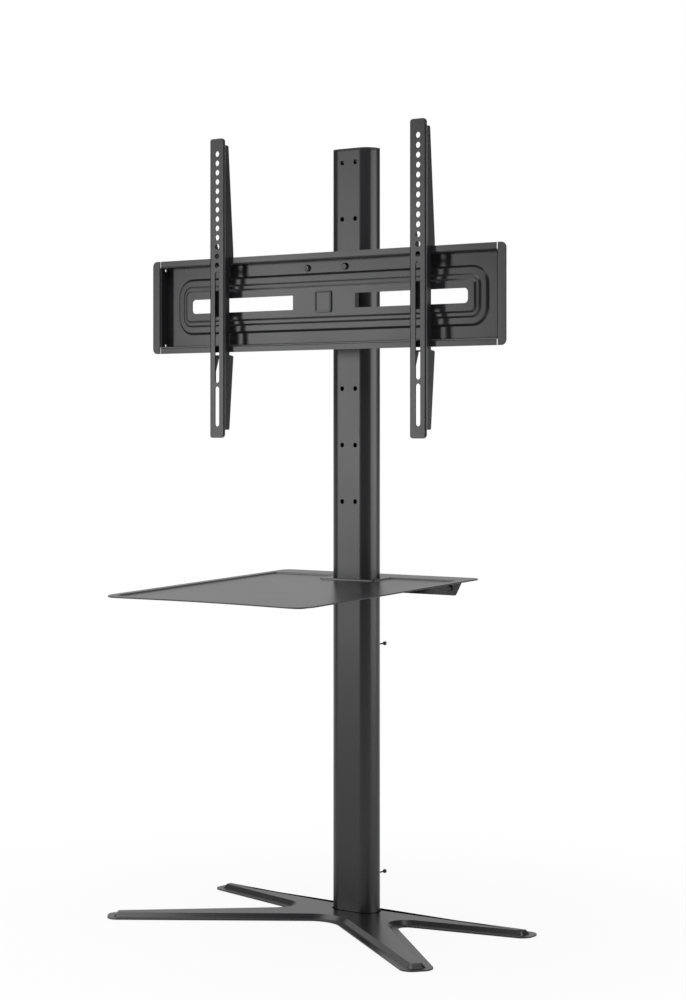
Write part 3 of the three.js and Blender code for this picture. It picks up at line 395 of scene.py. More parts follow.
def joined(bodies: Sequence[bpy.types.Object]) -> bpy.types.Object:
    """Joins objects that don't touch into one mesh.

    Args:
        bodies: The objects, the first of which keeps its name.

    Returns:
        The one object.
    """
    take_up(bodies[0])
    for body in bodies[1:]:
        body.select_set(True)
    if len(bodies) > 1:
        bpy.ops.object.join()
    return bpy.context.active_object


def twin(body: bpy.types.Object, name: str,
         move: Sequence[float] = (0.0, 0.0, 0.0)) -> bpy.types.Object:
    """Copies a piece with its own mesh.

    Args:
        body: The piece to copy.
        name: The copy's name.
        move: How far the copy stands from the piece.

    Returns:
        The copy.
    """
    copy = body.copy()
    copy.data = body.data.copy()
    copy.name = copy.data.name = name
    bpy.context.scene.collection.objects.link(copy)
    return bake_place(copy, Matrix.Translation([v * MM for v in move]))


def carve(body: bpy.types.Object, tools: Iterable[bpy.types.Object],
          way: Carve = Carve.CUT) -> bpy.types.Object:
    """Cuts, welds or keeps what tools share with a body, and removes the tools.

    Args:
        body: The body that is worked.
        tools: Closed solids.
        way: What each tool does.

    Returns:
        The body.
    """
    for tool in tools:
        take_up(body)
        step = body.modifiers.new("carve", "BOOLEAN")
        step.operation = way.value
        step.solver = "EXACT"
        step.object = tool
        bpy.ops.object.modifier_apply(modifier=step.name)
        bpy.data.objects.remove(tool, do_unlink=True)
    return body


def soften(body: bpy.types.Object, radius: float, segments: int = 3, angle: float = 30.0) -> None:
    """Rounds every edge that is sharper than an angle.

    Args:
        body: The body that is worked.
        radius: Width of the rounding.
        segments: Steps in it.
        angle: Degrees past which an edge is rounded.
    """
    take_up(body)
    step = body.modifiers.new("soften", "BEVEL")
    step.width = radius * MM
    step.segments = segments
    step.limit_method = "ANGLE"
    step.angle_limit = math.radians(angle)
    step.use_clamp_overlap = True
    step.miter_outer = "MITER_ARC"
    bpy.ops.object.modifier_apply(modifier=step.name)


def shade(body: bpy.types.Object, angle: float = 40.0, weight: int = 50) -> None:
    """Merges doubles, smooths across shallow edges and keeps large flats flat.

    Args:
        body: The body that is worked.
        angle: Degrees up to which two faces shade as one.
        weight: How strongly large faces draw the normals to theirs.
    """
    open_mesh(body, "VERT", "SELECT")
    bpy.ops.mesh.remove_doubles(threshold=DOUBLES)
    bpy.ops.mesh.dissolve_degenerate(threshold=DOUBLES)
    bpy.ops.object.mode_set(mode="OBJECT")
    bpy.ops.object.shade_smooth_by_angle(angle=math.radians(angle))
    step = body.modifiers.new("weigh", "WEIGHTED_NORMAL")
    step.mode = "FACE_AREA"
    step.weight = weight
    step.keep_sharp = True
    bpy.ops.object.modifier_apply(modifier=step.name)


# Finishes


def linear(colour: str) -> tuple[float, float, float, float]:
    """Turns an sRGB hex colour to linear.

    Args:
        colour: A value such as #1d1d1f.

    Returns:
        Linear red, green, blue and 1.
    """
    parts = [int(colour[i:i + 2], 16) / 255 for i in (1, 3, 5)]
    # The sRGB curve: a straight foot below its knee, a power of 2.4 above it.
    knee, foot, offset, power = 0.04045, 12.92, 0.055, 2.4
    red, green, blue = (p / foot if p <= knee else ((p + offset) / (1 + offset)) ** power
                        for p in parts)
    return (red, green, blue, 1.0)


def add_node(tree: bpy.types.NodeTree, kind: str, settings: dict[str | int, Any] | None = None,
             links: dict[str | int, bpy.types.NodeSocket] | None = None) -> bpy.types.Node:
    """Adds a shader node with its settings and links.

    Args:
        tree: The node tree.
        kind: The node's type name.
        settings: Properties by name, or input values by socket name or number.
        links: Sockets to join, by input name or number.

    Returns:
        The new node.
    """
    node = tree.nodes.new(kind)
    for key, value in (settings or {}).items():
        if isinstance(key, str) and key not in node.inputs and hasattr(node, key):
            setattr(node, key, value)
        else:
            node.inputs[key].default_value = value
    for key, socket in (links or {}).items():
        tree.links.new(socket, node.inputs[key])
    return node


def empty_tree(owner: bpy.types.Material | bpy.types.World) -> bpy.types.NodeTree:
    """Switches the nodes of a material or world on and clears them.

    Args:
        owner: The material or world.

    Returns:
        Its node tree, empty.
    """
    owner.use_nodes = True
    owner.node_tree.nodes.clear()
    return owner.node_tree


@dataclass(frozen=True)
class Finish:
    """What every finish shares: name, slot, colour and a material that is built once."""

    name: str
    slot: str
    colour: str
    roughness: float

    def material(self) -> bpy.types.Material:
        """Builds the material once and gives it back after that.

        Returns:
            The material.
        """
        made = bpy.data.materials.get(self.name)
        if not made:
            made = bpy.data.materials.new(self.name)
            self.lay_on(empty_tree(made))
        return made

    def lay_on(self, tree: bpy.types.NodeTree) -> None:
        """Adds the finish's nodes to an empty tree."""
        raise NotImplementedError

    def toned(self, share: float) -> tuple[float, ...]:
        """Gives the colour in linear light, darkened or lightened by a share."""
        return (*(part * share for part in linear(self.colour)[:3]), 1.0)


@dataclass(frozen=True)
class CoatedSteel(Finish):
    """Mild steel under baked polyester powder: satin, with the cured film's slight orange peel."""

    name: str = "satin_black_powder_coat"
    slot: str = "black_powder_coat"
    colour: str = "#212123"
    roughness: float = 0.29
    # Kept small: with parts of the film smoother than about 0.275, thin lines showed on the coat.
    spread: float = 0.012
    tones: tuple[float, float] = (0.82, 1.22)
    peel_mm: float = 2.2
    peel_depth_mm: float = 0.012
    grit_mm: float = 0.7
    film_scale: float = 9.0

    def lay_on(self, tree: bpy.types.NodeTree) -> None:
        """Adds the coat's nodes: orange peel, powder grain and an uneven film.

        Args:
            tree: The material's tree.
        """
        place = add_node(tree, "ShaderNodeTexCoord").outputs["Object"]
        # The cured film flows into low hills a couple of millimetres apart.
        peel = add_node(tree, "ShaderNodeTexNoise", {
            "Scale": 1 / (self.peel_mm * MM), "Detail": 1.5, "Roughness": 0.4}, {"Vector": place})
        # Powder grains, drawn coarser than they are so that they show.
        grit = add_node(tree, "ShaderNodeTexNoise", {
            "Scale": 1 / (self.grit_mm * MM), "Detail": 2.0, "Roughness": 0.6}, {"Vector": place})
        # Broad uneven film, a hand's breadth across.
        film = add_node(tree, "ShaderNodeTexNoise", {
            "Scale": self.film_scale, "Detail": 2.0, "Roughness": 0.5}, {"Vector": place})
        rough = add_node(tree, "ShaderNodeMapRange", {
            "From Min": 0.3, "From Max": 0.7, "To Min": self.roughness - self.spread,
            "To Max": self.roughness + self.spread}, {"Value": film.outputs["Fac"]})
        tint = add_node(tree, "ShaderNodeMix", {
            "data_type": "RGBA", MIX_A: self.toned(self.tones[0]),
            MIX_B: self.toned(self.tones[1])}, {"Factor": grit.outputs["Fac"]})
        bump = add_node(tree, "ShaderNodeBump", {
            "Strength": 0.35, "Distance": self.peel_depth_mm * MM}, {"Height": peel.outputs["Fac"]})
        fine = add_node(tree, "ShaderNodeBump", {
            "Strength": 0.2, "Distance": self.peel_depth_mm * MM / 3},
            {"Height": grit.outputs["Fac"], "Normal": bump.outputs["Normal"]})
        shader = add_node(tree, "ShaderNodeBsdfPrincipled", {"IOR": 1.5, "Metallic": 0.0}, {
            "Base Color": tint.outputs[MIX_RESULT], "Roughness": rough.outputs["Result"],
            "Normal": fine.outputs["Normal"]})
        add_node(tree, "ShaderNodeOutputMaterial", None, {"Surface": shader.outputs["BSDF"]})


@dataclass(frozen=True)
class PlainFinish(Finish):
    """A finish of one colour with a fine grain: flat paint, black oxide, nylon or rubber."""

    metallic: float
    grain_mm: float
    grain_depth_mm: float
    spread: float = 0.15
    tones: tuple[float, float] = (0.75, 1.3)

    def lay_on(self, tree: bpy.types.NodeTree) -> None:
        """Adds the finish's nodes: one grain that marks colour, gloss and surface alike.

        Args:
            tree: The material's tree.
        """
        place = add_node(tree, "ShaderNodeTexCoord").outputs["Object"]
        grain = add_node(tree, "ShaderNodeTexNoise", {
            "Scale": 1 / (self.grain_mm * MM), "Detail": 3.0}, {"Vector": place})
        rough = add_node(tree, "ShaderNodeMapRange", {
            "From Min": 0.25, "From Max": 0.75, "To Min": self.roughness * (1 - self.spread),
            "To Max": min(1.0, self.roughness * (1 + self.spread))},
            {"Value": grain.outputs["Fac"]})
        tint = add_node(tree, "ShaderNodeMix", {
            "data_type": "RGBA", MIX_A: self.toned(self.tones[0]),
            MIX_B: self.toned(self.tones[1])}, {"Factor": grain.outputs["Fac"]})
        bump = add_node(tree, "ShaderNodeBump", {
            "Strength": 0.4, "Distance": self.grain_depth_mm * MM},
            {"Height": grain.outputs["Fac"]})
        shader = add_node(tree, "ShaderNodeBsdfPrincipled", {
            "IOR": 1.5, "Metallic": self.metallic}, {
            "Base Color": tint.outputs[MIX_RESULT], "Roughness": rough.outputs["Result"],
            "Normal": bump.outputs["Normal"]})
        add_node(tree, "ShaderNodeOutputMaterial", None, {"Surface": shader.outputs["BSDF"]})


POWDER = CoatedSteel()
# Brushed-on paint is flat, and its grain is the brush's and the steel's.
DARK_STEEL = PlainFinish("flat_black_paint", "dark_steel", "#161617", roughness=0.5, metallic=0.0,
                         grain_mm=0.8, grain_depth_mm=0.01)
# Oxide from a hot bath is thin, so the steel's own sheen comes through.
BLACK_OXIDE = PlainFinish("black_oxide_steel", "black_oxide_fastener", "#454547", roughness=0.3,
                          metallic=0.9, grain_mm=0.6, grain_depth_mm=0.008)
# Moulded nylon takes the fine matt of its mould.
NYLON = PlainFinish("moulded_black_nylon", "black_plastic", "#171717", roughness=0.48,
                    metallic=0.0, grain_mm=0.5, grain_depth_mm=0.02)
# Moulded rubber is dull, with hardly any gloss.
RUBBER = PlainFinish("black_rubber", "foot_rubber", "#131313", roughness=0.85, metallic=0.0,
                     grain_mm=0.7, grain_depth_mm=0.03)


def put_on(body: bpy.types.Object, finish: Finish) -> None:
    """Gives a piece one finish all over."""
    body.data.materials.clear()
    body.data.materials.append(finish.material())


@dataclass
class SubAssembly:
    """What every sub-assembly shares: the post's place, and how a finished piece is handed over."""

    post_y: float

    def build(self) -> None:
        """Makes the sub-assembly's pieces."""
        raise NotImplementedError

    def hand_over(self, body: bpy.types.Object, finish: Finish, rides: str, node: str) -> None:
        """Shades a piece, puts it at its place and ties it to its body.

        Args:
            body: The finished piece, about the post's axis.
            finish: What it is finished in.
            rides: The body that carries it.
            node: The CAD node that it stands for.
        """
        shade(body)
        bake_place(body, Matrix.Translation((0, self.post_y * MM, 0)))
        put_on(body, finish)
        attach(body, rides)
        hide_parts(node)
        log.info("made %s: %d faces, rides on %s", body.name, len(body.data.polygons), rides)

    def hand_over_copies(self, pattern: bpy.types.Object, finish: Finish,
                         copies: Iterable[tuple[str, str, str, Sequence[float]]]) -> None:
        """Copies a pattern to each of its places, hands the copies over and removes the pattern.

        Args:
            pattern: The finished piece to copy.
            finish: What the copies are finished in.
            copies: Each copy's name, body, CAD node and move from the pattern.
        """
        for name, rides, node, move in copies:
            self.hand_over(twin(pattern, name, move), finish, rides, node)
        bpy.data.objects.remove(pattern, do_unlink=True)


@dataclass
class Base(SubAssembly):
    """The pressed X base: floor flange, sloped skirt and plateau, with its pads."""

    low: float = 1.0
    sheet: float = 2.0
    height: float = 9.0
    flange: float = 10.0
    slope_run: float = 6.0
    front_start: float = -61.0
    front_slope: float = -0.72
    mid_start: float = 54.0
    mid_slope: float = -0.914
    side_start: float = -53.0
    side_slope: float = 0.226
    rear_start: float = 28.5
    front_reach: float = 376.0
    front_direction: tuple[float, float] = (0.777, -0.629)
    rear_reach: float = 297.0
    rear_tip_width: float = 39.9
    tip_radius: float = 17.0
    front_notch_radius: float = 46.0
    side_notch_radius: float = 16.0
    rear_notch_radius: float = 120.0
    seat_half: tuple[float, float] = (41.0, 22.0)
    seat_run: float = 4.0
    seat_radius: float = 21.5
    fold_radius: float = 1.4
    pad_radius: float = 5.0
    pad_edge: float = 0.8
    bolt_spots: tuple[tuple[float, float], ...] = ((-18, -7), (-18, 7), (18, -7), (18, 7))
    clear_of_all: float = 400.0

    def corners(self) -> list[Corner]:
        """Works out the floor outline from the edges of the legs.

        Returns:
            The corners, anticlockwise from the front notch.
        """
        along_x, along_y = self.front_direction

        def tip(start: float, slope: float) -> Corner:
            """Gives where an edge meets the end of a front leg."""
            x = (self.front_reach - along_y * start) / (along_x + along_y * slope)
            return Corner(x, start + slope * x, self.tip_radius)

        notch_x = (self.side_start - self.mid_start) / (self.mid_slope - self.side_slope)
        rear_front = self.side_start + self.side_slope * self.rear_reach
        right = [
            tip(self.front_start, self.front_slope),
            tip(self.mid_start, self.mid_slope),
            Corner(notch_x, self.mid_start + self.mid_slope * notch_x, self.side_notch_radius),
            Corner(self.rear_reach, rear_front, self.tip_radius),
            Corner(self.rear_reach, rear_front + self.rear_tip_width, self.tip_radius),
        ]
        front = Corner(0, self.front_start, self.front_notch_radius)
        rear = Corner(0, self.rear_start, self.rear_notch_radius)
        return [front, *right, rear, *mirrored(right)]

    def pressing(self, name: str, corners: Sequence[Corner], steps: Sequence[tuple[float, float]],
                 low: float, rim: float) -> bpy.types.Object:
        """Raises an outline through a rim and inset steps to a closed pressing.

        Args:
            name: The new object's name.
            corners: The outline's corners.
            steps: Each step's inset and rise.
            low: Level of its underside.
            rim: Height of its upright rim.

        Returns:
            The closed solid.
        """
        body = draw_outline(name, corners, 10)
        open_mesh(body, action="SELECT")
        lift(rim)
        for inset, rise in steps:
            step_in(inset, rise)
        close_mesh()
        return bake_place(body, Facing.FLAT.placing(low, low))

    def shell(self) -> bpy.types.Object:
        """Presses the base shell, with the seat that carries the post's rear.

        Returns:
            The shell.
        """
        corners = self.corners()
        seat_corners = rectangle(*(half + self.seat_run for half in self.seat_half),
                                 self.seat_radius + self.seat_run)
        rise = self.height - self.low - self.sheet
        legs = [(self.flange, 0.0), (self.slope_run, rise)]
        ring = [(self.seat_run, rise)]
        outer = self.pressing("base_pressing", corners, legs, self.low, self.sheet)
        carve(outer, [self.pressing("seat", seat_corners, ring, self.low, self.sheet)], Carve.WELD)
        below = self.low - self.sheet
        inner = self.pressing("hollow", corners, legs, below, self.sheet)
        far = self.clear_of_all
        carve(inner, [slab("under", (-far, -far, below - 2 * self.sheet),
                           (far, far, self.low + 1e-3))])
        skirt = self.pressing("seat_hollow", seat_corners, ring, below, self.sheet)
        carve(outer, [inner, skirt, self.mouth(corners)])
        holes = [rod("hole", Axis.Z, BOLT_HOLE, (x, y, self.height), 20, 24)
                 for x, y in self.bolt_spots]
        return carve(outer, [joined(holes)])

    def mouth(self, corners: Sequence[Corner]) -> bpy.types.Object:
        """Makes the tool that opens the underside within the flange.

        Args:
            corners: The floor outline's corners.

        Returns:
            The tool.
        """
        plug = draw_outline("mouth", corners, 10)
        open_mesh(plug, action="SELECT")
        step_in(self.flange)
        bpy.ops.mesh.select_all(action="INVERT")
        bpy.ops.mesh.delete(type="FACE")
        bpy.ops.mesh.select_all(action="SELECT")
        lift(self.sheet + HAIR)
        close_mesh()
        return bake_place(plug, Facing.FLAT.placing(self.low - self.sheet, self.low))

    def build(self) -> None:
        """Makes the shell and its four pads."""
        shell = self.shell()
        soften(shell, self.fold_radius, 3, 22.0)
        self.hand_over(shell, POWDER, "stand", "base_shell")
        _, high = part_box("foot_pad_front_left")
        pad = rod("rubber_pad", Axis.Z, self.pad_radius, (0, 0, high.z / 2 / MM), high.z / MM, 36)
        soften(pad, self.pad_edge)
        copies = []
        for end in ("front", "rear"):
            for side in Side:
                node = f"foot_pad_{end}_{side.word}"
                low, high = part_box(node)
                move = ((low.x + high.x) / 2 / MM, (low.y + high.y) / 2 / MM - self.post_y, 0)
                copies.append((f"rubber_{node}", "stand", node, move))
        self.hand_over_copies(pad, RUBBER, copies)


@dataclass
class Post(SubAssembly):
    """The drawn flat-sided oval tube with its rows of holes, and the plug in its top."""

    wall: float = 2.0
    foot: float = 9.3
    top: float = 1157.0
    hole_radius: float = 3.4
    hole_spacing: float = 24.5
    peg_hole: float = 5.35
    rows: int = 7
    row_pitch: float = 85.3
    top_margin: float = 18.0
    tube_edge: float = 0.35
    cap: float = 3.3
    cap_border: float = 6.0
    cap_groove: tuple[float, float] = (0.8, 0.5)  # inset and depth
    cap_edge: float = 0.6
    plug_inset: float = 2.3
    plug_wall: float = 1.5
    plug_depth: float = 18.0

    def column(self, name: str, inset: float, low: float, high: float) -> bpy.types.Object:
        """Draws a column of the post's oval section.

        Args:
            name: Its name.
            inset: How far its sides lie inside the post's.
            low: Height of its foot.
            high: Height of its top.

        Returns:
            The column.
        """
        corners = rectangle(*(half - inset for half in POST_HALF), POST_RADIUS - inset)
        return prism(name, corners, low, high, Facing.FLAT, 12)

    def row_height(self, row: int) -> float:
        """Gives the height of a row of holes, counted from the top.

        Args:
            row: The row's number from 0.

        Returns:
            Its height.
        """
        return self.top - self.top_margin - row * self.row_pitch

    def tube(self) -> bpy.types.Object:
        """Draws the tube and drills its rows.

        Returns:
            The tube.
        """
        body = self.column("post_drawn_tube", 0.0, self.foot, self.top)
        bore = self.column("bore", self.wall, self.foot - 5, self.top + 5)
        back = POST_HALF[1]
        drills = [rod("drill", Axis.Y, self.hole_radius,
                      (side * self.hole_spacing / 2, -back, self.row_height(row)), 10)
                  for row in range(self.rows) for side in (-1, 1)]
        drills += [rod("drill", Axis.Y, self.peg_hole, (0, back, z), 10)
                   for z in PEG_HEIGHTS.values()]
        carve(body, [bore, joined(drills)])
        soften(body, self.tube_edge, 2)
        return body

    def build(self) -> None:
        """Makes the tube and its cap."""
        self.hand_over(self.tube(), POWDER, "stand", "post_tube")
        cap = self.column("post_cap_moulded", 0.0, self.top + SEAT_GAP, self.top + self.cap)
        open_mesh(cap)
        pick(cap, "faces", lambda face: face.normal.z > 0.9)
        step_in(self.cap_border)
        step_in(self.cap_groove[0], -self.cap_groove[1])
        close_mesh()
        foot = self.top - self.plug_depth
        plug = self.column("plug", self.plug_inset, foot, self.top + 1)
        room = self.column("room", self.plug_inset + self.plug_wall, foot - 1,
                           self.top + SEAT_GAP)
        carve(plug, [room])
        carve(cap, [plug], Carve.WELD)
        soften(cap, self.cap_edge)
        self.hand_over(cap, NYLON, "stand", "post_cap")


@dataclass
class Crossbar(SubAssembly):
    """The pressed tray: lips, end flanges, three stepped beads, two slots, badge and screws."""

    middle: float = 926.5
    half_length: float = 331.0
    half_height: float = 72.3
    front: float = -92.5
    back: float = -72.5
    sheet: float = 2.0
    lip: float = 9.3
    roll: float = 3.6
    roll_steps: int = 8
    end_flange: float = 14.0
    flange_corner: float = 8.0
    bead: tuple[float, float, float] = (290.5, 42.5, 27.0)  # half length, half height, corner
    wall_run: float = 1.6
    soft_runs: tuple[float, ...] = (4.2, 3.6, 3.6)
    wall_steps: int = 8
    steps: tuple[tuple[float, float], ...] = ((11.5, 2.0), (7.0, 2.0))  # inset and rise
    first_rise: float = 3.0
    slot: tuple[float, float, float] = (58.5, 259.5, 10.75)  # inner end, outer end, half height
    slot_radii: tuple[float, float] = (1.0, 6.0)  # inner and outer end
    notch: float = 2.5
    relief: float = 2.2
    relief_ahead: float = 5.5
    tray_radii: tuple[float, float] = (2.5, 1.5)  # outside and inside
    edge: float = 0.8
    screw_length: float = 10.0
    badge_half: tuple[float, float] = (15.5, 16.5)
    badge_corner: float = 4.0
    badge_height: float = 1.6
    badge_border: float = 2.0
    badge_groove: tuple[float, float] = (0.9, 0.8)  # inset and depth
    badge_edge: float = 0.5

    @property
    def tray_half(self) -> tuple[float, float]:
        """Half the tray's length and height, to the outside of its walls."""
        return self.half_length - self.end_flange, self.half_height - self.lip

    @property
    def field_face(self) -> float:
        """The front face of the tray's field."""
        return self.back - self.sheet

    def press_wall(self, run: float, rise: float) -> None:
        """Insets and lifts the open face through one soft wall, S-shaped as a press draws it.

        Args:
            run: How far the wall reaches inwards.
            rise: Height of the wall.
        """
        before = 0.0
        for step in range(1, self.wall_steps + 1):
            level = rise * (1 - math.cos(math.pi * step / self.wall_steps)) / 2
            step_in(run / self.wall_steps, level - before)
            before = level

    def beads(self) -> bpy.types.Object:
        """Presses the nested beads as one closed stack that stands on the field.

        Returns:
            The stack, from the field's back to the crest.
        """
        grow = (self.soft_runs[0] - self.wall_run) / 2
        half_x, half_z, radius = (v + grow for v in self.bead)
        body = draw_outline("beads", rectangle(half_x, half_z, radius, (0, self.middle)), 16)
        open_mesh(body, action="SELECT")
        lift(self.sheet)
        self.press_wall(self.soft_runs[0], self.first_rise)
        for (inset, rise), before, run in zip(self.steps, self.soft_runs, self.soft_runs[1:]):
            step_in(inset - (before + run) / 2)
            self.press_wall(run, rise)
        close_mesh()
        return bake_place(body, Facing.UPRIGHT.placing(self.field_face, self.back))

    def panel(self) -> bpy.types.Object:
        """Presses the tray with its lips, beads, slots, notches and relief holes.

        Returns:
            The panel.
        """
        tray_x, tray_z = self.tray_half
        at = (0, self.middle)
        outer, inner = self.tray_radii
        body = prism("crossbar_pressing", rectangle(tray_x, tray_z, outer, at), self.front,
                     self.back, Facing.UPRIGHT, 4)
        hollow = prism("hollow", rectangle(tray_x - self.sheet, tray_z - self.sheet, inner, at),
                       self.front - 5, self.field_face, Facing.UPRIGHT, 4)
        carve(body, [hollow])
        carve(body, [self.beads()], Carve.WELD)
        under = self.beads()
        bake_place(under, Matrix.Translation((0, self.sheet * MM, 0)))
        carve(body, [under])
        lips = prism("lips", rectangle(self.half_length, self.half_height, self.flange_corner, at),
                     self.front, self.front + self.sheet, Facing.UPRIGHT, 10)
        mouth = prism("mouth", rectangle(tray_x - 1, tray_z - 1, inner, at), self.front - 5,
                      self.front + 5, Facing.UPRIGHT, 4)
        carve(lips, [mouth])
        carve(body, [lips], Carve.WELD)
        return carve(body, [self.mouth_flare(), *self.cutters()])

    def mouth_flare(self) -> bpy.types.Object:
        """Makes the tool that rounds the fold from the lips into the tray's walls.

        Returns:
            The tool, which narrows to the tray's mouth along a quarter circle.
        """
        # A hair smaller than the mouth at its end, so that no two walls lie in one plane.
        half_x, half_z = (v - self.sheet + self.roll - 2 * HAIR for v in self.tray_half)
        body = draw_outline("mouth_flare", rectangle(half_x, half_z, self.tray_radii[1] + self.roll,
                                                     (0, self.middle)), 12)
        open_mesh(body, action="SELECT")
        lift(1)
        turns = [math.pi / 2 * step / self.roll_steps for step in range(self.roll_steps + 1)]
        for before, now in zip(turns, turns[1:]):
            step_in(self.roll * (math.sin(now) - math.sin(before)),
                    self.roll * (math.cos(before) - math.cos(now)))
        close_mesh()
        turn = Matrix(((-1, 0, 0, 0), (0, 0, 1, 0), (0, 1, 0, 0), (0, 0, 0, 1)))
        return bake_place(body, Matrix.Translation((0, (self.front - 1) * MM, 0)) @ turn)

    def cutters(self) -> list[bpy.types.Object]:
        """Makes the tools for slots, corner notches, relief holes and screw holes.

        Returns:
            The tools.
        """
        inner, outer, half = self.slot
        tray_x, tray_z = self.tray_half
        tools = []
        near, far = self.slot_radii
        for sign in (-1, 1):
            corners = [Corner(sign * x, self.middle + z, r) for x, z, r in (
                (inner, -half, near), (outer, -half, far), (outer, half, far), (inner, half, near))]
            tools.append(prism("slot", corners, self.front, self.back + 5, Facing.UPRIGHT, 6))
        for sx in (-1, 1):
            for sz in (-1, 1):
                x = sx * (tray_x - self.sheet / 2)
                z = self.middle + sz * tray_z
                reach = sorted((z, z + sz * (self.lip + 4)))
                tools.append(slab("notch", (x - self.notch / 2, self.front - 4, reach[0]),
                                  (x + self.notch / 2, self.front + self.sheet + 4, reach[1])))
                spot = (x, self.field_face - self.relief_ahead,
                        self.middle + sz * (tray_z - 2 * self.sheet))
                tools.append(rod("relief", Axis.X, self.relief, spot, 6, 20))
        across, height = MOUNT_SCREW
        tools += [rod("screw_hole", Axis.Y, SCREW_HOLE, (sign * across, self.back, height), 8, 24)
                  for sign in (-1, 1)]
        return tools

    def badge(self) -> bpy.types.Object:
        """Makes the bare raised plate in the middle of the crest.

        Returns:
            The plate.
        """
        crest = self.field_face - self.first_rise - sum(rise for _, rise in self.steps)
        back = crest - SEAT_GAP
        body = draw_outline("blank_badge", rectangle(*self.badge_half, self.badge_corner,
                                                     (0, self.middle)), 8)
        open_mesh(body, action="SELECT")
        lift(self.badge_height)
        step_in(self.badge_border)
        step_in(self.badge_groove[0], -self.badge_groove[1])
        close_mesh()
        bake_place(body, Facing.UPRIGHT.placing(back - self.badge_height, back))
        soften(body, self.badge_edge)
        return body

    def build(self) -> None:
        """Makes the panel, its badge and its two screws."""
        panel = self.panel()
        soften(panel, self.edge, 3, 35.0)
        self.hand_over(panel, POWDER, "stand", "crossbar")
        self.hand_over(self.badge(), POWDER, "stand", "crossbar_badge")
        across, height = MOUNT_SCREW
        screw = PanScrew(self.screw_length).turned("pan_head_screw", height,
                                                   self.field_face - SEAT_GAP)
        self.hand_over_copies(screw, BLACK_OXIDE, [
            (f"pan_head_screw_{side.word}", "stand", f"crossbar_screw_{side.word}",
             (side.value * across, 0, 0)) for side in Side])


@dataclass(frozen=True)
class PanScrew:
    """A domed screw with a cross recess, its head towards the viewer."""

    length: float
    head: float = 5.0
    height: float = 3.0
    dome: float = 1.86
    shank: float = 2.5
    recess_half: tuple[float, float] = (2.1, 0.55)  # half length and half width of each bar
    recess_depth: float = 1.3

    def turned(self, name: str, level: float, face: float) -> bpy.types.Object:
        """Turns the screw and presses its recess, in the middle plane.

        Args:
            name: The new object's name.
            level: The height of its axis.
            face: The plane that its head sits on.

        Returns:
            The screw.
        """
        middle, tip = face - self.height / 2, face - self.height
        body = rod(name, Axis.Y, self.head, (0, middle, level), self.height, 40)
        open_mesh(body, "EDGE")
        pick(body, "edges", lambda edge: all(v.co.y < middle * MM for v in edge.verts))
        bpy.ops.mesh.bevel(offset=self.dome * MM, segments=6, profile=0.5, affect="EDGES")
        close_mesh()
        stem = rod("stem", Axis.Y, self.shank, (0, face + self.length / 2 - 1, level),
                   self.length + 2, 24)
        carve(body, [stem], Carve.WELD)
        long, short = self.recess_half
        return carve(body, [slab("bar", (-a, tip - 1, level - b),
                                 (a, tip + self.recess_depth, level + b))
                            for a, b in ((long, short), (short, long))])


@dataclass
class Adapter(SubAssembly):
    """The folded hat section that spaces the crossbar off the post."""

    half: float = 43.0
    front: float = -72.2
    back: float = -20.3
    sheet: float = 2.5
    web_half: float = 22.0
    low: float = 866.75
    high: float = 984.75
    cut_edge: float = 0.3
    outer_bend: float = 3.5
    inner_bend: float = 1.2
    bolt_place: float = 12.25
    bolt_heights: tuple[float, float] = (968.4, 883.1)

    def build(self) -> None:
        """Folds the hat section and drills its web and its lips."""
        inner, lip_back = self.web_half - self.sheet, self.front + self.sheet
        edge, wide, tight = self.cut_edge, self.outer_bend, self.inner_bend
        ahead = [Corner(-self.half, self.front, edge), Corner(-inner, self.front, wide),
                 Corner(-inner, self.back - self.sheet, tight)]
        behind = [Corner(self.half, lip_back, edge), Corner(self.web_half, lip_back, tight),
                  Corner(self.web_half, self.back, wide)]
        corners = [*ahead, *mirrored(ahead), *behind, *mirrored(behind)]
        body = prism("adapter_hat_section", corners, self.low, self.high, Facing.FLAT, 5)
        drills = [rod("drill", Axis.Y, BOLT_HOLE, (sign * self.bolt_place, self.back, z), 12)
                  for z in self.bolt_heights for sign in (-1, 1)]
        across, height = MOUNT_SCREW
        drills += [rod("drill", Axis.Y, SCREW_HOLE, (sign * across, self.front, height), 12)
                   for sign in (-1, 1)]
        carve(body, [joined(drills)])
        soften(body, edge, 2)
        self.hand_over(body, POWDER, "stand", "mount_adapter")


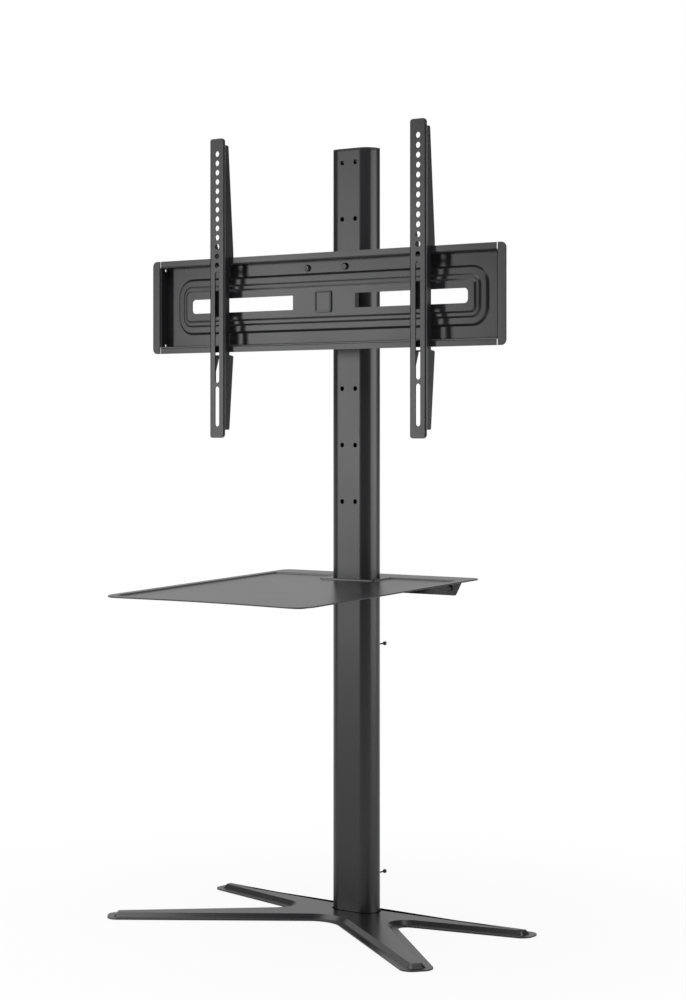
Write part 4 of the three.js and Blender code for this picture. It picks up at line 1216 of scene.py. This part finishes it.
@dataclass
class Arms(SubAssembly):
    """The two hooked arms, one pattern on both sides: channel, bridge, latch and latch pin."""

    place: float = 188.7
    half: float = 15.0
    sheet: float = 2.0
    bend: float = 3.0
    end_corner: float = 6.5
    front: float = -104.7
    top: float = 1180.7
    foot: float = 723.1
    root_depth: float = 21.4
    end_depth: float = 9.7
    foot_depth: float = 11.8
    seat_depth: float = 11.9
    behind_depth: float = 14.5
    inner_ramp: float = 34.0
    top_tab: float = 10.6
    foot_tab: float = 12.4
    under: float = 848.9
    over: float = 999.1
    tooth: float = 992.3
    hook_top: float = 1005.3
    holes: int = 13
    hole_pitch: float = 14.2
    hole_radius: float = 4.3
    first_hole: float = 1157.3
    slots: tuple[tuple[float, float], ...] = ((807.2, 977.0), (740.5, 801.8))
    tab_round: float = 2.5
    step_round: float = 2.0
    seat_round: float = 0.8
    tooth_round: float = 0.6
    hook_round: float = 5.0
    edges: tuple[float, float, float] = (0.3, 0.2, 0.25)  # channel, bridge, latch
    pin: tuple[float, float] = (-98.1, 805.4)  # depth and height
    pin_radius: float = 1.5
    pin_hole: float = 1.85
    rivet_head: tuple[float, float] = (2.6, 0.8)  # radius and height
    rivet_dome: float = 0.6
    bridge_span: tuple[float, float] = (908.5, 948.5)
    bridge_depths: tuple[float, float] = (3.0, 8.5)  # behind the arm's front
    bridge_radii: tuple[float, float, float] = (0.3, 0.8, 2.2)  # cut edge, inner and outer bend
    latch_span: tuple[float, float] = (800.8, 849.8)
    latch_front: float = -102.1
    latch_ear: float = 8.0
    latch_radii: tuple[float, float] = (1.0, 0.8)  # ear's foot, bend under the catch bar
    latch_slot: tuple[float, float] = (1.8, 5.8)  # half width, half length
    latch_travel: float = 8.0
    catch_set_back: float = 5.0

    def section(self, inset: float, radius: float, back: float) -> list[Corner]:
        """Gives the channel's plan outline.

        Args:
            inset: How far it lies inside the outer skin.
            radius: Radius of its front corners.
            back: How deep it runs.

        Returns:
            The corners.
        """
        half = self.half - inset
        near = self.front + inset
        return [Corner(-half, near, radius), Corner(half, near, radius),
                Corner(half, self.front + back), Corner(-half, self.front + back)]

    def profile(self) -> list[Corner]:
        """Gives the side profile: flanges that taper to both ends, the hook and the under-step.

        Returns:
            The corners, in depth and height.
        """
        seat, behind = self.front + self.seat_depth, self.front + self.behind_depth
        deep, web = self.front + self.root_depth, self.front + self.sheet
        return [
            Corner(self.front - 2, self.foot - 1), Corner(web, self.foot - 1),
            Corner(web, self.foot + self.foot_tab),
            Corner(self.front + self.foot_depth, self.foot + self.foot_tab, self.tab_round),
            Corner(deep, self.under, self.step_round), Corner(seat, self.under, self.seat_round),
            Corner(seat, self.over, self.seat_round), Corner(behind, self.over, self.tooth_round),
            Corner(behind, self.tooth, self.seat_round), Corner(deep, self.tooth, self.step_round),
            Corner(deep, self.hook_top, self.hook_round),
            Corner(self.front + self.end_depth, self.top - self.top_tab, self.tab_round),
            Corner(web, self.top - self.top_tab), Corner(web, self.top + 1),
            Corner(self.front - 2, self.top + 1),
        ]

    def inner_relief(self) -> list[bpy.types.Object]:
        """Makes the tools that trim the left flange, which runs shallow towards both ends.

        Returns:
            The tools.
        """
        deep, root = self.front + self.root_depth + 3, self.front + self.root_depth
        end = self.front + self.end_depth
        upper = [Corner(root, self.hook_top), Corner(deep, self.hook_top),
                 Corner(deep, self.top + 2), Corner(end, self.top + 2),
                 Corner(end, self.hook_top + self.inner_ramp)]
        lower = [Corner(deep, self.foot - 2), Corner(deep, self.under), Corner(root, self.under),
                 Corner(end, self.under - self.inner_ramp), Corner(end, self.foot - 2)]
        return [prism("trim", corners, -self.half - 3, -self.half + 6, Facing.SIDE)
                for corners in (upper, lower)]

    def channel(self) -> bpy.types.Object:
        """Folds the channel, cuts its profile and punches its holes.

        Returns:
            The channel.
        """
        deep = self.root_depth + 2
        body = prism("arm_channel", self.section(0, self.bend, deep), self.foot, self.top,
                     Facing.FLAT, 6)
        hollow = prism("hollow", self.section(self.sheet, self.bend - self.sheet, deep + 3),
                       self.foot - 3, self.top + 3, Facing.FLAT, 4)
        carve(body, [hollow])
        side = prism("profile", self.profile(), -self.half - 3, self.half + 3, Facing.SIDE, 5)
        carve(body, [side], Carve.KEEP)
        carve(body, [*self.end_corners(), *self.inner_relief()])
        punches = [rod("punch", Axis.Y, self.hole_radius,
                       (0, self.front, self.first_hole - i * self.hole_pitch), 10, 36)
                   for i in range(self.holes)]
        for low, high in self.slots:
            corners = rectangle(self.hole_radius, (high - low) / 2, self.hole_radius - HAIR,
                                (0, (low + high) / 2))
            punches.append(prism("punch", corners, self.front - 5, self.front + 5,
                                 Facing.UPRIGHT, 9))
        punches.append(rod("punch", Axis.X, self.pin_hole, (0, *self.pin), 60, 20))
        return carve(body, [joined(punches)])

    def end_corners(self) -> list[bpy.types.Object]:
        """Makes the tools that round the web's four corners.

        Returns:
            The tools.
        """
        tools = []
        for sx in (-1, 1):
            for end, sz in ((self.top, 1), (self.foot, -1)):
                x, z = sx * (self.half - self.end_corner), end - sz * self.end_corner
                wide = sorted((x, sx * (self.half + 2)))
                high = sorted((z, end + sz * 2))
                block = slab("corner", (wide[0], self.front - 4, high[0]),
                             (wide[1], self.front + 30, high[1]))
                turn = rod("turn", Axis.Y, self.end_corner, (x, self.front + 10, z), 60, 40)
                tools.append(carve(block, [turn]))
        return tools

    def bridge(self) -> bpy.types.Object:
        """Folds the bridge that ties the two flanges behind the long slot.

        Returns:
            The bridge.
        """
        half, sheet = self.half - self.sheet - SEAT_GAP, self.sheet
        near, far = (self.front + depth for depth in self.bridge_depths)
        edge, inner, outer = self.bridge_radii
        corners = [Corner(-half, near, edge), Corner(-half + sheet, near, edge),
                   Corner(-half + sheet, far - sheet, inner)]
        corners += mirrored(corners)
        corners += [Corner(half, far, outer), Corner(-half, far, outer)]
        return prism("arm_bridge_strip", corners, *self.bridge_span, Facing.FLAT, 5)

    def latch(self) -> bpy.types.Object:
        """Folds the latch: two slotted ears and the catch bar that runs back from their tops.

        Returns:
            The latch.
        """
        half, sheet = self.half - self.sheet - SEAT_GAP, self.sheet
        low, top = self.latch_span
        near, back = self.latch_front, self.front + self.root_depth - sheet
        ear = near + self.latch_ear
        foot, bend = self.latch_radii
        side = [Corner(near, low, foot), Corner(ear, low, foot), Corner(ear, top - sheet, bend),
                Corner(back, top - sheet), Corner(back, top), Corner(near, top)]
        body = prism("latch_catch", side, -half, half, Facing.SIDE, 5)
        room = slab("room", (-half + sheet, near - 5, low - 5),
                    (half - sheet, back + 5, top - sheet))
        ahead = slab("ahead", (-half + sheet, near - 5, top - sheet - 3),
                     (half - sheet, near + self.catch_set_back, top + 5))
        y, z = self.pin
        wide, high = self.latch_slot
        slot = prism("slot", rectangle(wide, high, wide - HAIR, (y, z + self.latch_travel / 2)),
                     -40, 40, Facing.SIDE, 7)
        return carve(body, [room, ahead, slot])

    def pivot(self) -> bpy.types.Object:
        """Turns the pin that the latch slides on, with its two riveted heads.

        Returns:
            The pin.
        """
        radius, height = self.rivet_head
        middle = self.half + SEAT_GAP + height / 2
        body = rod("latch_rivet", Axis.X, self.pin_radius, (0, *self.pin), 2 * middle + 0.2, 28)
        heads = []
        for sign in (-1, 1):
            head = rod("head", Axis.X, radius, (sign * middle, *self.pin), height, 28)
            open_mesh(head, "EDGE")
            pick(head, "edges", lambda edge, s=sign: all(
                s * v.co.x > middle * MM for v in edge.verts))
            bpy.ops.mesh.bevel(offset=self.rivet_dome * MM, segments=4, profile=0.5,
                               affect="EDGES")
            close_mesh()
            heads.append(head)
        return carve(body, heads, Carve.WELD)

    def build(self) -> None:
        """Makes the pattern's four pieces once and copies them to both sides."""
        channel, bridge, latch = self.channel(), self.bridge(), self.latch()
        for body, radius in zip((channel, bridge, latch), self.edges):
            soften(body, radius, 2)
        pattern = [(channel, POWDER, "arm", "arm"), (bridge, POWDER, "arm", "arm_bridge"),
                   (latch, DARK_STEEL, "latch", "arm_latch"),
                   (self.pivot(), BLACK_OXIDE, "arm", "latch_pin")]
        for body, finish, rides, node in pattern:
            self.hand_over_copies(body, finish, [
                (f"{body.name}_{side.word}", f"{rides}_{side.word}", f"{node}_{side.word}",
                 (side.value * self.place, 0, 0)) for side in Side])


@dataclass
class Shelf(SubAssembly):
    """The pressed shelf with its rim and recess, its bracket and screws, tilted to the front."""

    level: float = 512.0
    slope: float = 2.4
    half: float = 187.0
    front: float = -367.5
    rear: float = 62.0
    setback: float = 12.0
    sweep: float = 1200.0
    front_radius: float = 28.0
    rear_radius: float = 15.0
    rim: float = 14.0
    rim_rise: float = 2.2
    rear_rim: float = 42.0
    recess_radius: float = 9.0
    recess_run: float = 2.5
    land: tuple[float, float, float] = (50.0, 28.0, 6.0)  # half width, reach ahead, corner
    sheet: float = 2.0
    edge: float = 0.6
    bracket_back: float = 58.0
    bracket_sheet: float = 2.5
    bracket_half: tuple[float, float] = (156.0, 142.0)  # at its top and its foot
    bracket_height: float = 25.0
    bracket_edge: float = 0.5
    post_room: float = 0.6
    screw_place: float = 132.0
    screw_drop: float = 14.0
    screw_length: float = 8.0
    skirt_inset: float = 3.0
    fold: float = 2.5
    ledge: float = 20.0
    cheek_front: float = -12.0
    bolt_heights: tuple[float, float] = (491.2, 503.2)

    @property
    def seat(self) -> float:
        """The height of the bracket's ledge, just under the shelf."""
        return self.level - self.sheet - SEAT_GAP

    def tilt(self, body: bpy.types.Object) -> bpy.types.Object:
        """Tilts a piece with the shelf.

        Args:
            body: The piece, level.

        Returns:
            The same piece, tilted.
        """
        about = Matrix.Translation((0, 0, self.level * MM))
        turn = Matrix.Rotation(math.radians(self.slope), 4, "X")
        return bake_place(body, about @ turn @ about.inverted())

    def plate_corners(self) -> list[Corner]:
        """Gives the shelf's plan outline, swept back at the middle of its front.

        Returns:
            The corners.
        """
        return [Corner(-self.half, self.front, self.front_radius),
                Corner(0, self.front + self.setback, self.sweep),
                Corner(self.half, self.front, self.front_radius),
                Corner(self.half, self.rear, self.rear_radius),
                Corner(-self.half, self.rear, self.rear_radius)]

    def recess_corners(self) -> list[Corner]:
        """Gives the recess's outline at the rim, with its step round the post.

        Returns:
            The corners.
        """
        half, near, rear = self.half - self.rim, self.front + self.rim, self.rear - self.rear_rim
        land, ahead, bend = self.land
        outer = self.front_radius - self.rim
        return [Corner(-half, near, outer), Corner(0, near + self.setback, self.sweep),
                Corner(half, near, outer), Corner(half, rear, self.recess_radius),
                Corner(land, rear, bend), Corner(land, -ahead, bend),
                Corner(-land, -ahead, bend), Corner(-land, rear, bend),
                Corner(-half, rear, self.recess_radius)]

    def hollow(self, above: float) -> bpy.types.Object:
        """Makes the solid of the recess, with its sloped wall.

        Args:
            above: How far it stands above the rim.

        Returns:
            The closed solid.
        """
        body = draw_outline("recess", self.recess_corners(), 8)
        open_mesh(body, action="SELECT")
        bpy.ops.mesh.flip_normals()
        lift(-above)
        step_in(self.recess_run, -self.rim_rise)
        close_mesh()
        return bake_place(body, Facing.FLAT.placing(self.level + above, self.level))

    def skirt_corners(self, top: float, inset: float) -> list[Corner]:
        """Gives the slanted outline of the rear flange and skirt.

        Args:
            top: Height of its upper edge.
            inset: How much smaller than the flange it is.

        Returns:
            The corners.
        """
        foot = self.seat - self.bracket_height + inset
        wide, narrow = (half - inset for half in self.bracket_half)
        return [Corner(-narrow, foot, self.fold), Corner(narrow, foot, self.fold),
                Corner(wide, top), Corner(-wide, top)]

    def screw_holes(self) -> bpy.types.Object:
        """Gives the drills for the two rear screws.

        Returns:
            The drills as one tool.
        """
        z = self.seat - self.screw_drop
        return joined([rod("drill", Axis.Y, SCREW_HOLE,
                           (sign * self.screw_place, self.bracket_back, z), 16)
                       for sign in (-1, 1)])

    def pan(self) -> bpy.types.Object:
        """Presses the shelf, folds its skirt and cuts the post's opening.

        Returns:
            The shelf.
        """
        top = self.level
        body = prism("shelf_pressed_pan", self.plate_corners(), top - self.sheet, top,
                     Facing.FLAT, 14)
        under = self.hollow(0.0)
        bake_place(under, Matrix.Translation((0, 0, -self.sheet * MM)))
        carve(body, [under], Carve.WELD)
        near = self.bracket_back + SEAT_GAP
        skirt = prism("skirt", self.skirt_corners(top - 1, self.skirt_inset), near,
                      near + self.sheet, Facing.UPRIGHT, 5)
        carve(body, [skirt], Carve.WELD)
        carve(body, [self.hollow(2.0), self.screw_holes()])
        self.tilt(body)
        opening = prism("opening", rectangle(*(half + self.post_room for half in POST_HALF),
                                             POST_RADIUS + self.post_room),
                        top - 50, top + 50, Facing.FLAT, 12)
        return carve(body, [opening])

    def bracket(self) -> bpy.types.Object:
        """Folds the bracket: flange, ledge and the two cheeks that grip the post.

        Returns:
            The bracket.
        """
        wide, sheet = self.bracket_half[0], self.bracket_sheet
        near, foot = self.bracket_back - sheet, self.seat - self.bracket_height
        body = prism("shelf_folded_bracket", self.skirt_corners(self.seat, 0.0), near,
                     self.bracket_back, Facing.UPRIGHT, 5)
        ledge = slab("ledge", (-wide, self.bracket_back - self.ledge, self.seat - sheet),
                     (wide, self.bracket_back, self.seat))
        inner = POST_HALF[0] + SEAT_GAP
        cheeks = [slab("cheek", (low, self.cheek_front, foot), (low + sheet, near + 1, self.seat))
                  for low in (inner, -inner - sheet)]
        carve(body, [ledge, *cheeks], Carve.WELD)
        carve(body, [self.screw_holes()])
        self.tilt(body)
        bores = [rod("bore", Axis.X, SCREW_HOLE, (0, 0, z), 120, 24) for z in self.bolt_heights]
        return carve(body, [joined(bores)])

    def build(self) -> None:
        """Makes the shelf, its bracket and its screws."""
        pan = self.pan()
        soften(pan, self.edge, 3, 24.0)
        self.hand_over(pan, POWDER, "stand", "shelf_plate")
        bracket = self.bracket()
        soften(bracket, self.bracket_edge)
        self.hand_over(bracket, POWDER, "stand", "shelf_bracket")
        screw = PanScrew(self.screw_length).turned(
            "shelf_pan_screw", self.seat - self.screw_drop,
            self.bracket_back - self.bracket_sheet - SEAT_GAP)
        self.tilt(screw)
        self.hand_over_copies(screw, BLACK_OXIDE, [
            (f"shelf_pan_screw_{side.word}", "stand", f"shelf_screw_{side.word}",
             (side.value * self.screw_place, 0, 0)) for side in Side])


@dataclass
class CablePegs(SubAssembly):
    """The two ball-tipped pegs on the post's back, each in its moulded plug."""

    length: float = 51.7
    root: float = 6.0
    radius: float = 1.2
    ball: float = 3.2
    bush: tuple[float, float] = (6.5, 1.5)  # radius and height
    bush_edge: float = 0.5
    stem: tuple[float, float] = (5.0, 7.0)  # radius and length

    def peg(self) -> bpy.types.Object:
        """Turns one peg with its ball tip, at height 0.

        Returns:
            The peg.
        """
        root, tip = POST_HALF[1] - self.root, POST_HALF[1] + self.length
        peg = rod("peg_wire", Axis.Y, self.radius, (0, (root + tip) / 2, 0), tip - root, 20)
        clear_selection()
        bpy.ops.mesh.primitive_uv_sphere_add(segments=28, ring_count=16, radius=self.ball * MM,
                                             location=(0, tip * MM, 0))
        ball = named("ball")
        bpy.ops.object.transform_apply(location=True, rotation=True, scale=True)
        return carve(peg, [ball], Carve.WELD)

    def plug(self) -> bpy.types.Object:
        """Moulds one plug, at height 0.

        Returns:
            The plug.
        """
        back = POST_HALF[1]
        (radius, height), (stem_radius, depth) = self.bush, self.stem
        plug = rod("peg_bush", Axis.Y, radius, (0, back + SEAT_GAP + height / 2, 0), height, 36)
        soften(plug, self.bush_edge)
        stem = rod("stem", Axis.Y, stem_radius, (0, back + 1 - depth / 2, 0), depth, 28)
        carve(plug, [stem], Carve.WELD)
        return carve(plug, [rod("bore", Axis.Y, self.radius + SEAT_GAP, (0, back, 0), 20, 20)])

    def build(self) -> None:
        """Makes one peg and one plug and copies them to both heights."""
        for body, finish, node in ((self.peg(), BLACK_OXIDE, "cable_peg"),
                                   (self.plug(), NYLON, "peg_plug")):
            self.hand_over_copies(body, finish, [
                (f"{body.name}_{word}", "stand", f"{node}_{word}", (0, 0, z))
                for word, z in PEG_HEIGHTS.items()])


def dress_frame_nodes(nodes: dict[str, bpy.types.Object]) -> None:
    """Gives the CAD pieces that stay in view their finishes.

    Args:
        nodes: The CAD nodes by name.
    """
    finishes = {"base_stiffener": DARK_STEEL, "post_foot_block": DARK_STEEL, "nut_bar": DARK_STEEL,
                "base_bolt": BLACK_OXIDE, "adapter_bolt": BLACK_OXIDE, "shelf_bolt": BLACK_OXIDE,
                "shelf_nut": BLACK_OXIDE}
    for name, node in nodes.items():
        for stem, finish in finishes.items():
            if name.startswith(stem):
                put_on(node, finish)
                log.info("dressed %s in %s", name, finish.name)


@dataclass
class Studio:
    """The pale floor, the soft lamps, the surroundings and the camera."""

    post_y: float
    eye: tuple[float, float, float] = (2089.5, -2763.1, 737.6)
    forward: tuple[float, float] = (-0.6079, 0.7940)
    focal_px: float = 2285.0
    horizon_px: float = 428.4
    lamp_reach: float = 5.0
    side_lamp_reach: float = 4.0
    side_lamp_azimuth: float = 103.0
    plain_level: float = 0.32
    dim_level: float = 0.05
    backdrop_level: float = 0.65
    backdrop_rise: float = 28.0
    backdrop_edge: tuple[float, float] = (40.0, 31.0)  # degrees off its middle, outer and inner
    floor_size: float = 60.0
    floor_drop: float = 0.0002
    floor_colour: str = "#d2d2d2"
    shadow_reach: tuple[float, float] = (0.4, 1.0)  # metres off the post's axis
    shadow_share: float = 0.9
    floor_behind: tuple[float, float] = (1.0, 2.0)  # metres beyond the stand

    def camera(self) -> None:
        """Puts the level camera where the photograph was taken from."""
        data = bpy.data.cameras.new("photo_camera")
        data.sensor_width = 36.0
        data.lens = self.focal_px / PHOTO_HEIGHT * data.sensor_width
        data.shift_y = (self.horizon_px - PHOTO_HEIGHT / 2) / PHOTO_HEIGHT
        data.clip_end = 50.0
        eye = bpy.data.objects.new("photo_camera", data)
        x, y, z = self.eye
        eye.location = (x * MM, (y + self.post_y) * MM, z * MM)
        eye.rotation_euler = Vector((*self.forward, 0)).to_track_quat("-Z", "Y").to_euler()
        bpy.context.scene.collection.objects.link(eye)
        bpy.context.scene.camera = eye

    def lamp(self, name: str, place: Sequence[float], size: tuple[float, float], power: float,
             aim: Sequence[float]) -> None:
        """Hangs one soft rectangular lamp.

        Args:
            name: Its name.
            place: Where it hangs, in metres.
            size: Its width and height, in metres.
            power: Its power in watts.
            aim: The point that it faces, in metres.
        """
        data = bpy.data.lights.new(name, "AREA")
        data.shape = "RECTANGLE"
        data.size, data.size_y = size
        data.energy = power
        lamp = bpy.data.objects.new(name, data)
        lamp.location = place
        lamp.rotation_euler = (Vector(aim) - Vector(place)).to_track_quat("-Z", "Y").to_euler()
        bpy.context.scene.collection.objects.link(lamp)

    def lamps(self) -> None:
        """Hangs the lamps: a tall one where the post's flat front mirrors the eye, a wide one where
        its round side does, and a large one overhead."""
        middle = self.post_y * MM
        across, along = (v * self.lamp_reach for v in self.forward)
        self.lamp("tall_front_left", (across, middle - along, 0.9), size=(0.7, 1.7), power=32.0,
                  aim=(0.0, middle, 0.9))
        turn = math.radians(self.side_lamp_azimuth)
        aside = self.side_lamp_reach * math.sin(turn)
        ahead = middle - self.side_lamp_reach * math.cos(turn)
        self.lamp("wide_right", (aside, ahead, 0.95), size=(4.4, 1.7), power=88.0,
                  aim=(0.0, middle, 0.95))
        self.lamp("overhead", (-0.4, middle - 0.9, 3.2), size=(5.0, 3.2), power=150.0,
                  aim=(0.0, middle, 0.6))

    def ray_kinds(self, tree: bpy.types.NodeTree) -> tuple[bpy.types.NodeSocket, ...]:
        """Adds the tests of what a ray is.

        Args:
            tree: The node tree.

        Returns:
            A socket that is 1 for the camera's own rays, and one that is 1 for mirrored and
            transmitted ones.
        """
        path = add_node(tree, "ShaderNodeLightPath").outputs
        mirrored = add_node(tree, "ShaderNodeMath", {"operation": "MAXIMUM"},
                            {0: path["Is Glossy Ray"], 1: path["Is Transmission Ray"]})
        return path["Is Camera Ray"], mirrored.outputs["Value"]

    def surroundings(self) -> None:
        """Makes the world: white to the eye, plain to matt surfaces, and to gloss a dim studio with
        the white backdrop that rises behind the object."""
        world = bpy.data.worlds.new("studio")
        bpy.context.scene.world = world
        tree = empty_tree(world)
        # The sampled map of the world knows nothing of the kind of ray, so it is switched off.
        world.cycles.sampling_method = "NONE"
        way = add_node(tree, "ShaderNodeTexCoord").outputs["Generated"]
        rise = math.radians(self.backdrop_rise)
        backdrop_way = (*(v * math.cos(rise) for v in self.forward), math.sin(rise))
        ahead = add_node(tree, "ShaderNodeVectorMath", {
            "operation": "DOT_PRODUCT", 1: backdrop_way}, {0: way})
        outer, inner = (math.cos(math.radians(angle)) for angle in self.backdrop_edge)
        backdrop = add_node(tree, "ShaderNodeMapRange", {
            "interpolation_type": "SMOOTHSTEP", "From Min": outer, "From Max": inner},
            {"Value": ahead.outputs["Value"]})
        gloss = add_node(tree, "ShaderNodeMapRange", {
            "To Min": self.dim_level, "To Max": self.backdrop_level},
            {"Value": backdrop.outputs["Result"]})
        eye, mirrored = self.ray_kinds(tree)
        seen = add_node(tree, "ShaderNodeMapRange", {"To Min": self.plain_level},
                        {"Value": mirrored, "To Max": gloss.outputs["Result"]})
        room = add_node(tree, "ShaderNodeBackground", {"Color": WHITE},
                        {"Strength": seen.outputs["Result"]})
        white = add_node(tree, "ShaderNodeBackground", {"Color": WHITE, "Strength": 1.0})
        mixed = add_node(tree, "ShaderNodeMixShader", None,
                         {0: eye, 1: room.outputs["Background"], 2: white.outputs["Background"]})
        add_node(tree, "ShaderNodeOutputWorld", None, {"Surface": mixed.outputs["Shader"]})

    def floor(self) -> None:
        """Lays the pale floor, white to the eye away from the object's soft shadow, and to gloss
        where it lies behind the object."""
        clear_selection()
        bpy.ops.mesh.primitive_plane_add(size=self.floor_size, location=(0, 0, -self.floor_drop))
        ground = named("studio_floor")
        made = bpy.data.materials.new("pale_floor")
        tree = empty_tree(made)
        place = add_node(tree, "ShaderNodeTexCoord").outputs["Object"]
        away = add_node(tree, "ShaderNodeVectorMath", {"operation": "LENGTH"}, {0: place})
        share = add_node(tree, "ShaderNodeMapRange", {
            "interpolation_type": "SMOOTHSTEP", "From Min": self.shadow_reach[0],
            "From Max": self.shadow_reach[1], "To Min": self.shadow_share, "To Max": 1.0},
            {"Value": away.outputs["Value"]})
        beyond = add_node(tree, "ShaderNodeVectorMath", {
            "operation": "DOT_PRODUCT", 1: (*self.forward, 0.0)}, {0: place})
        behind = add_node(tree, "ShaderNodeMapRange", {
            "interpolation_type": "SMOOTHSTEP", "From Min": self.floor_behind[0],
            "From Max": self.floor_behind[1]}, {"Value": beyond.outputs["Value"]})
        eye, mirrored = self.ray_kinds(tree)
        mirrored_share = add_node(tree, "ShaderNodeMath", {"operation": "MULTIPLY"},
                                  {0: mirrored, 1: behind.outputs["Result"]})
        eye_share = add_node(tree, "ShaderNodeMath", {"operation": "MULTIPLY"},
                             {0: eye, 1: share.outputs["Result"]})
        glow_share = add_node(tree, "ShaderNodeMath", {"operation": "MAXIMUM"},
                              {0: eye_share.outputs["Value"], 1: mirrored_share.outputs["Value"]})
        matt = add_node(tree, "ShaderNodeBsdfDiffuse", {"Color": linear(self.floor_colour)})
        glow = add_node(tree, "ShaderNodeEmission", {"Color": WHITE, "Strength": 1.0})
        mixed = add_node(tree, "ShaderNodeMixShader", None,
                         {0: glow_share.outputs["Value"], 1: matt.outputs["BSDF"],
                          2: glow.outputs["Emission"]})
        add_node(tree, "ShaderNodeOutputMaterial", None, {"Surface": mixed.outputs["Shader"]})
        ground.data.materials.append(made)

    def set_up(self) -> None:
        """Sets up the whole studio."""
        self.camera()
        self.surroundings()
        self.lamps()
        self.floor()
        bpy.context.scene.view_settings.view_transform = "Standard"


def main() -> None:
    """Loads the frame, makes every piece and the studio, and dresses the CAD pieces that stay in
    view.
    """
    logging.basicConfig(level=logging.INFO, format="%(message)s")
    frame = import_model()
    low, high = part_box("post_tube")
    post_y = (low.y + high.y) / 2 / MM
    Studio(post_y).set_up()
    assemblies: list[SubAssembly] = [
        Base(post_y), Post(post_y), Crossbar(post_y), Adapter(post_y),
        Arms(post_y), Shelf(post_y), CablePegs(post_y)]
    for assembly in assemblies:
        log.info("building %s", type(assembly).__name__)
        assembly.build()
    dress_frame_nodes(frame["nodes"])


if __name__ == "__main__":
    main()
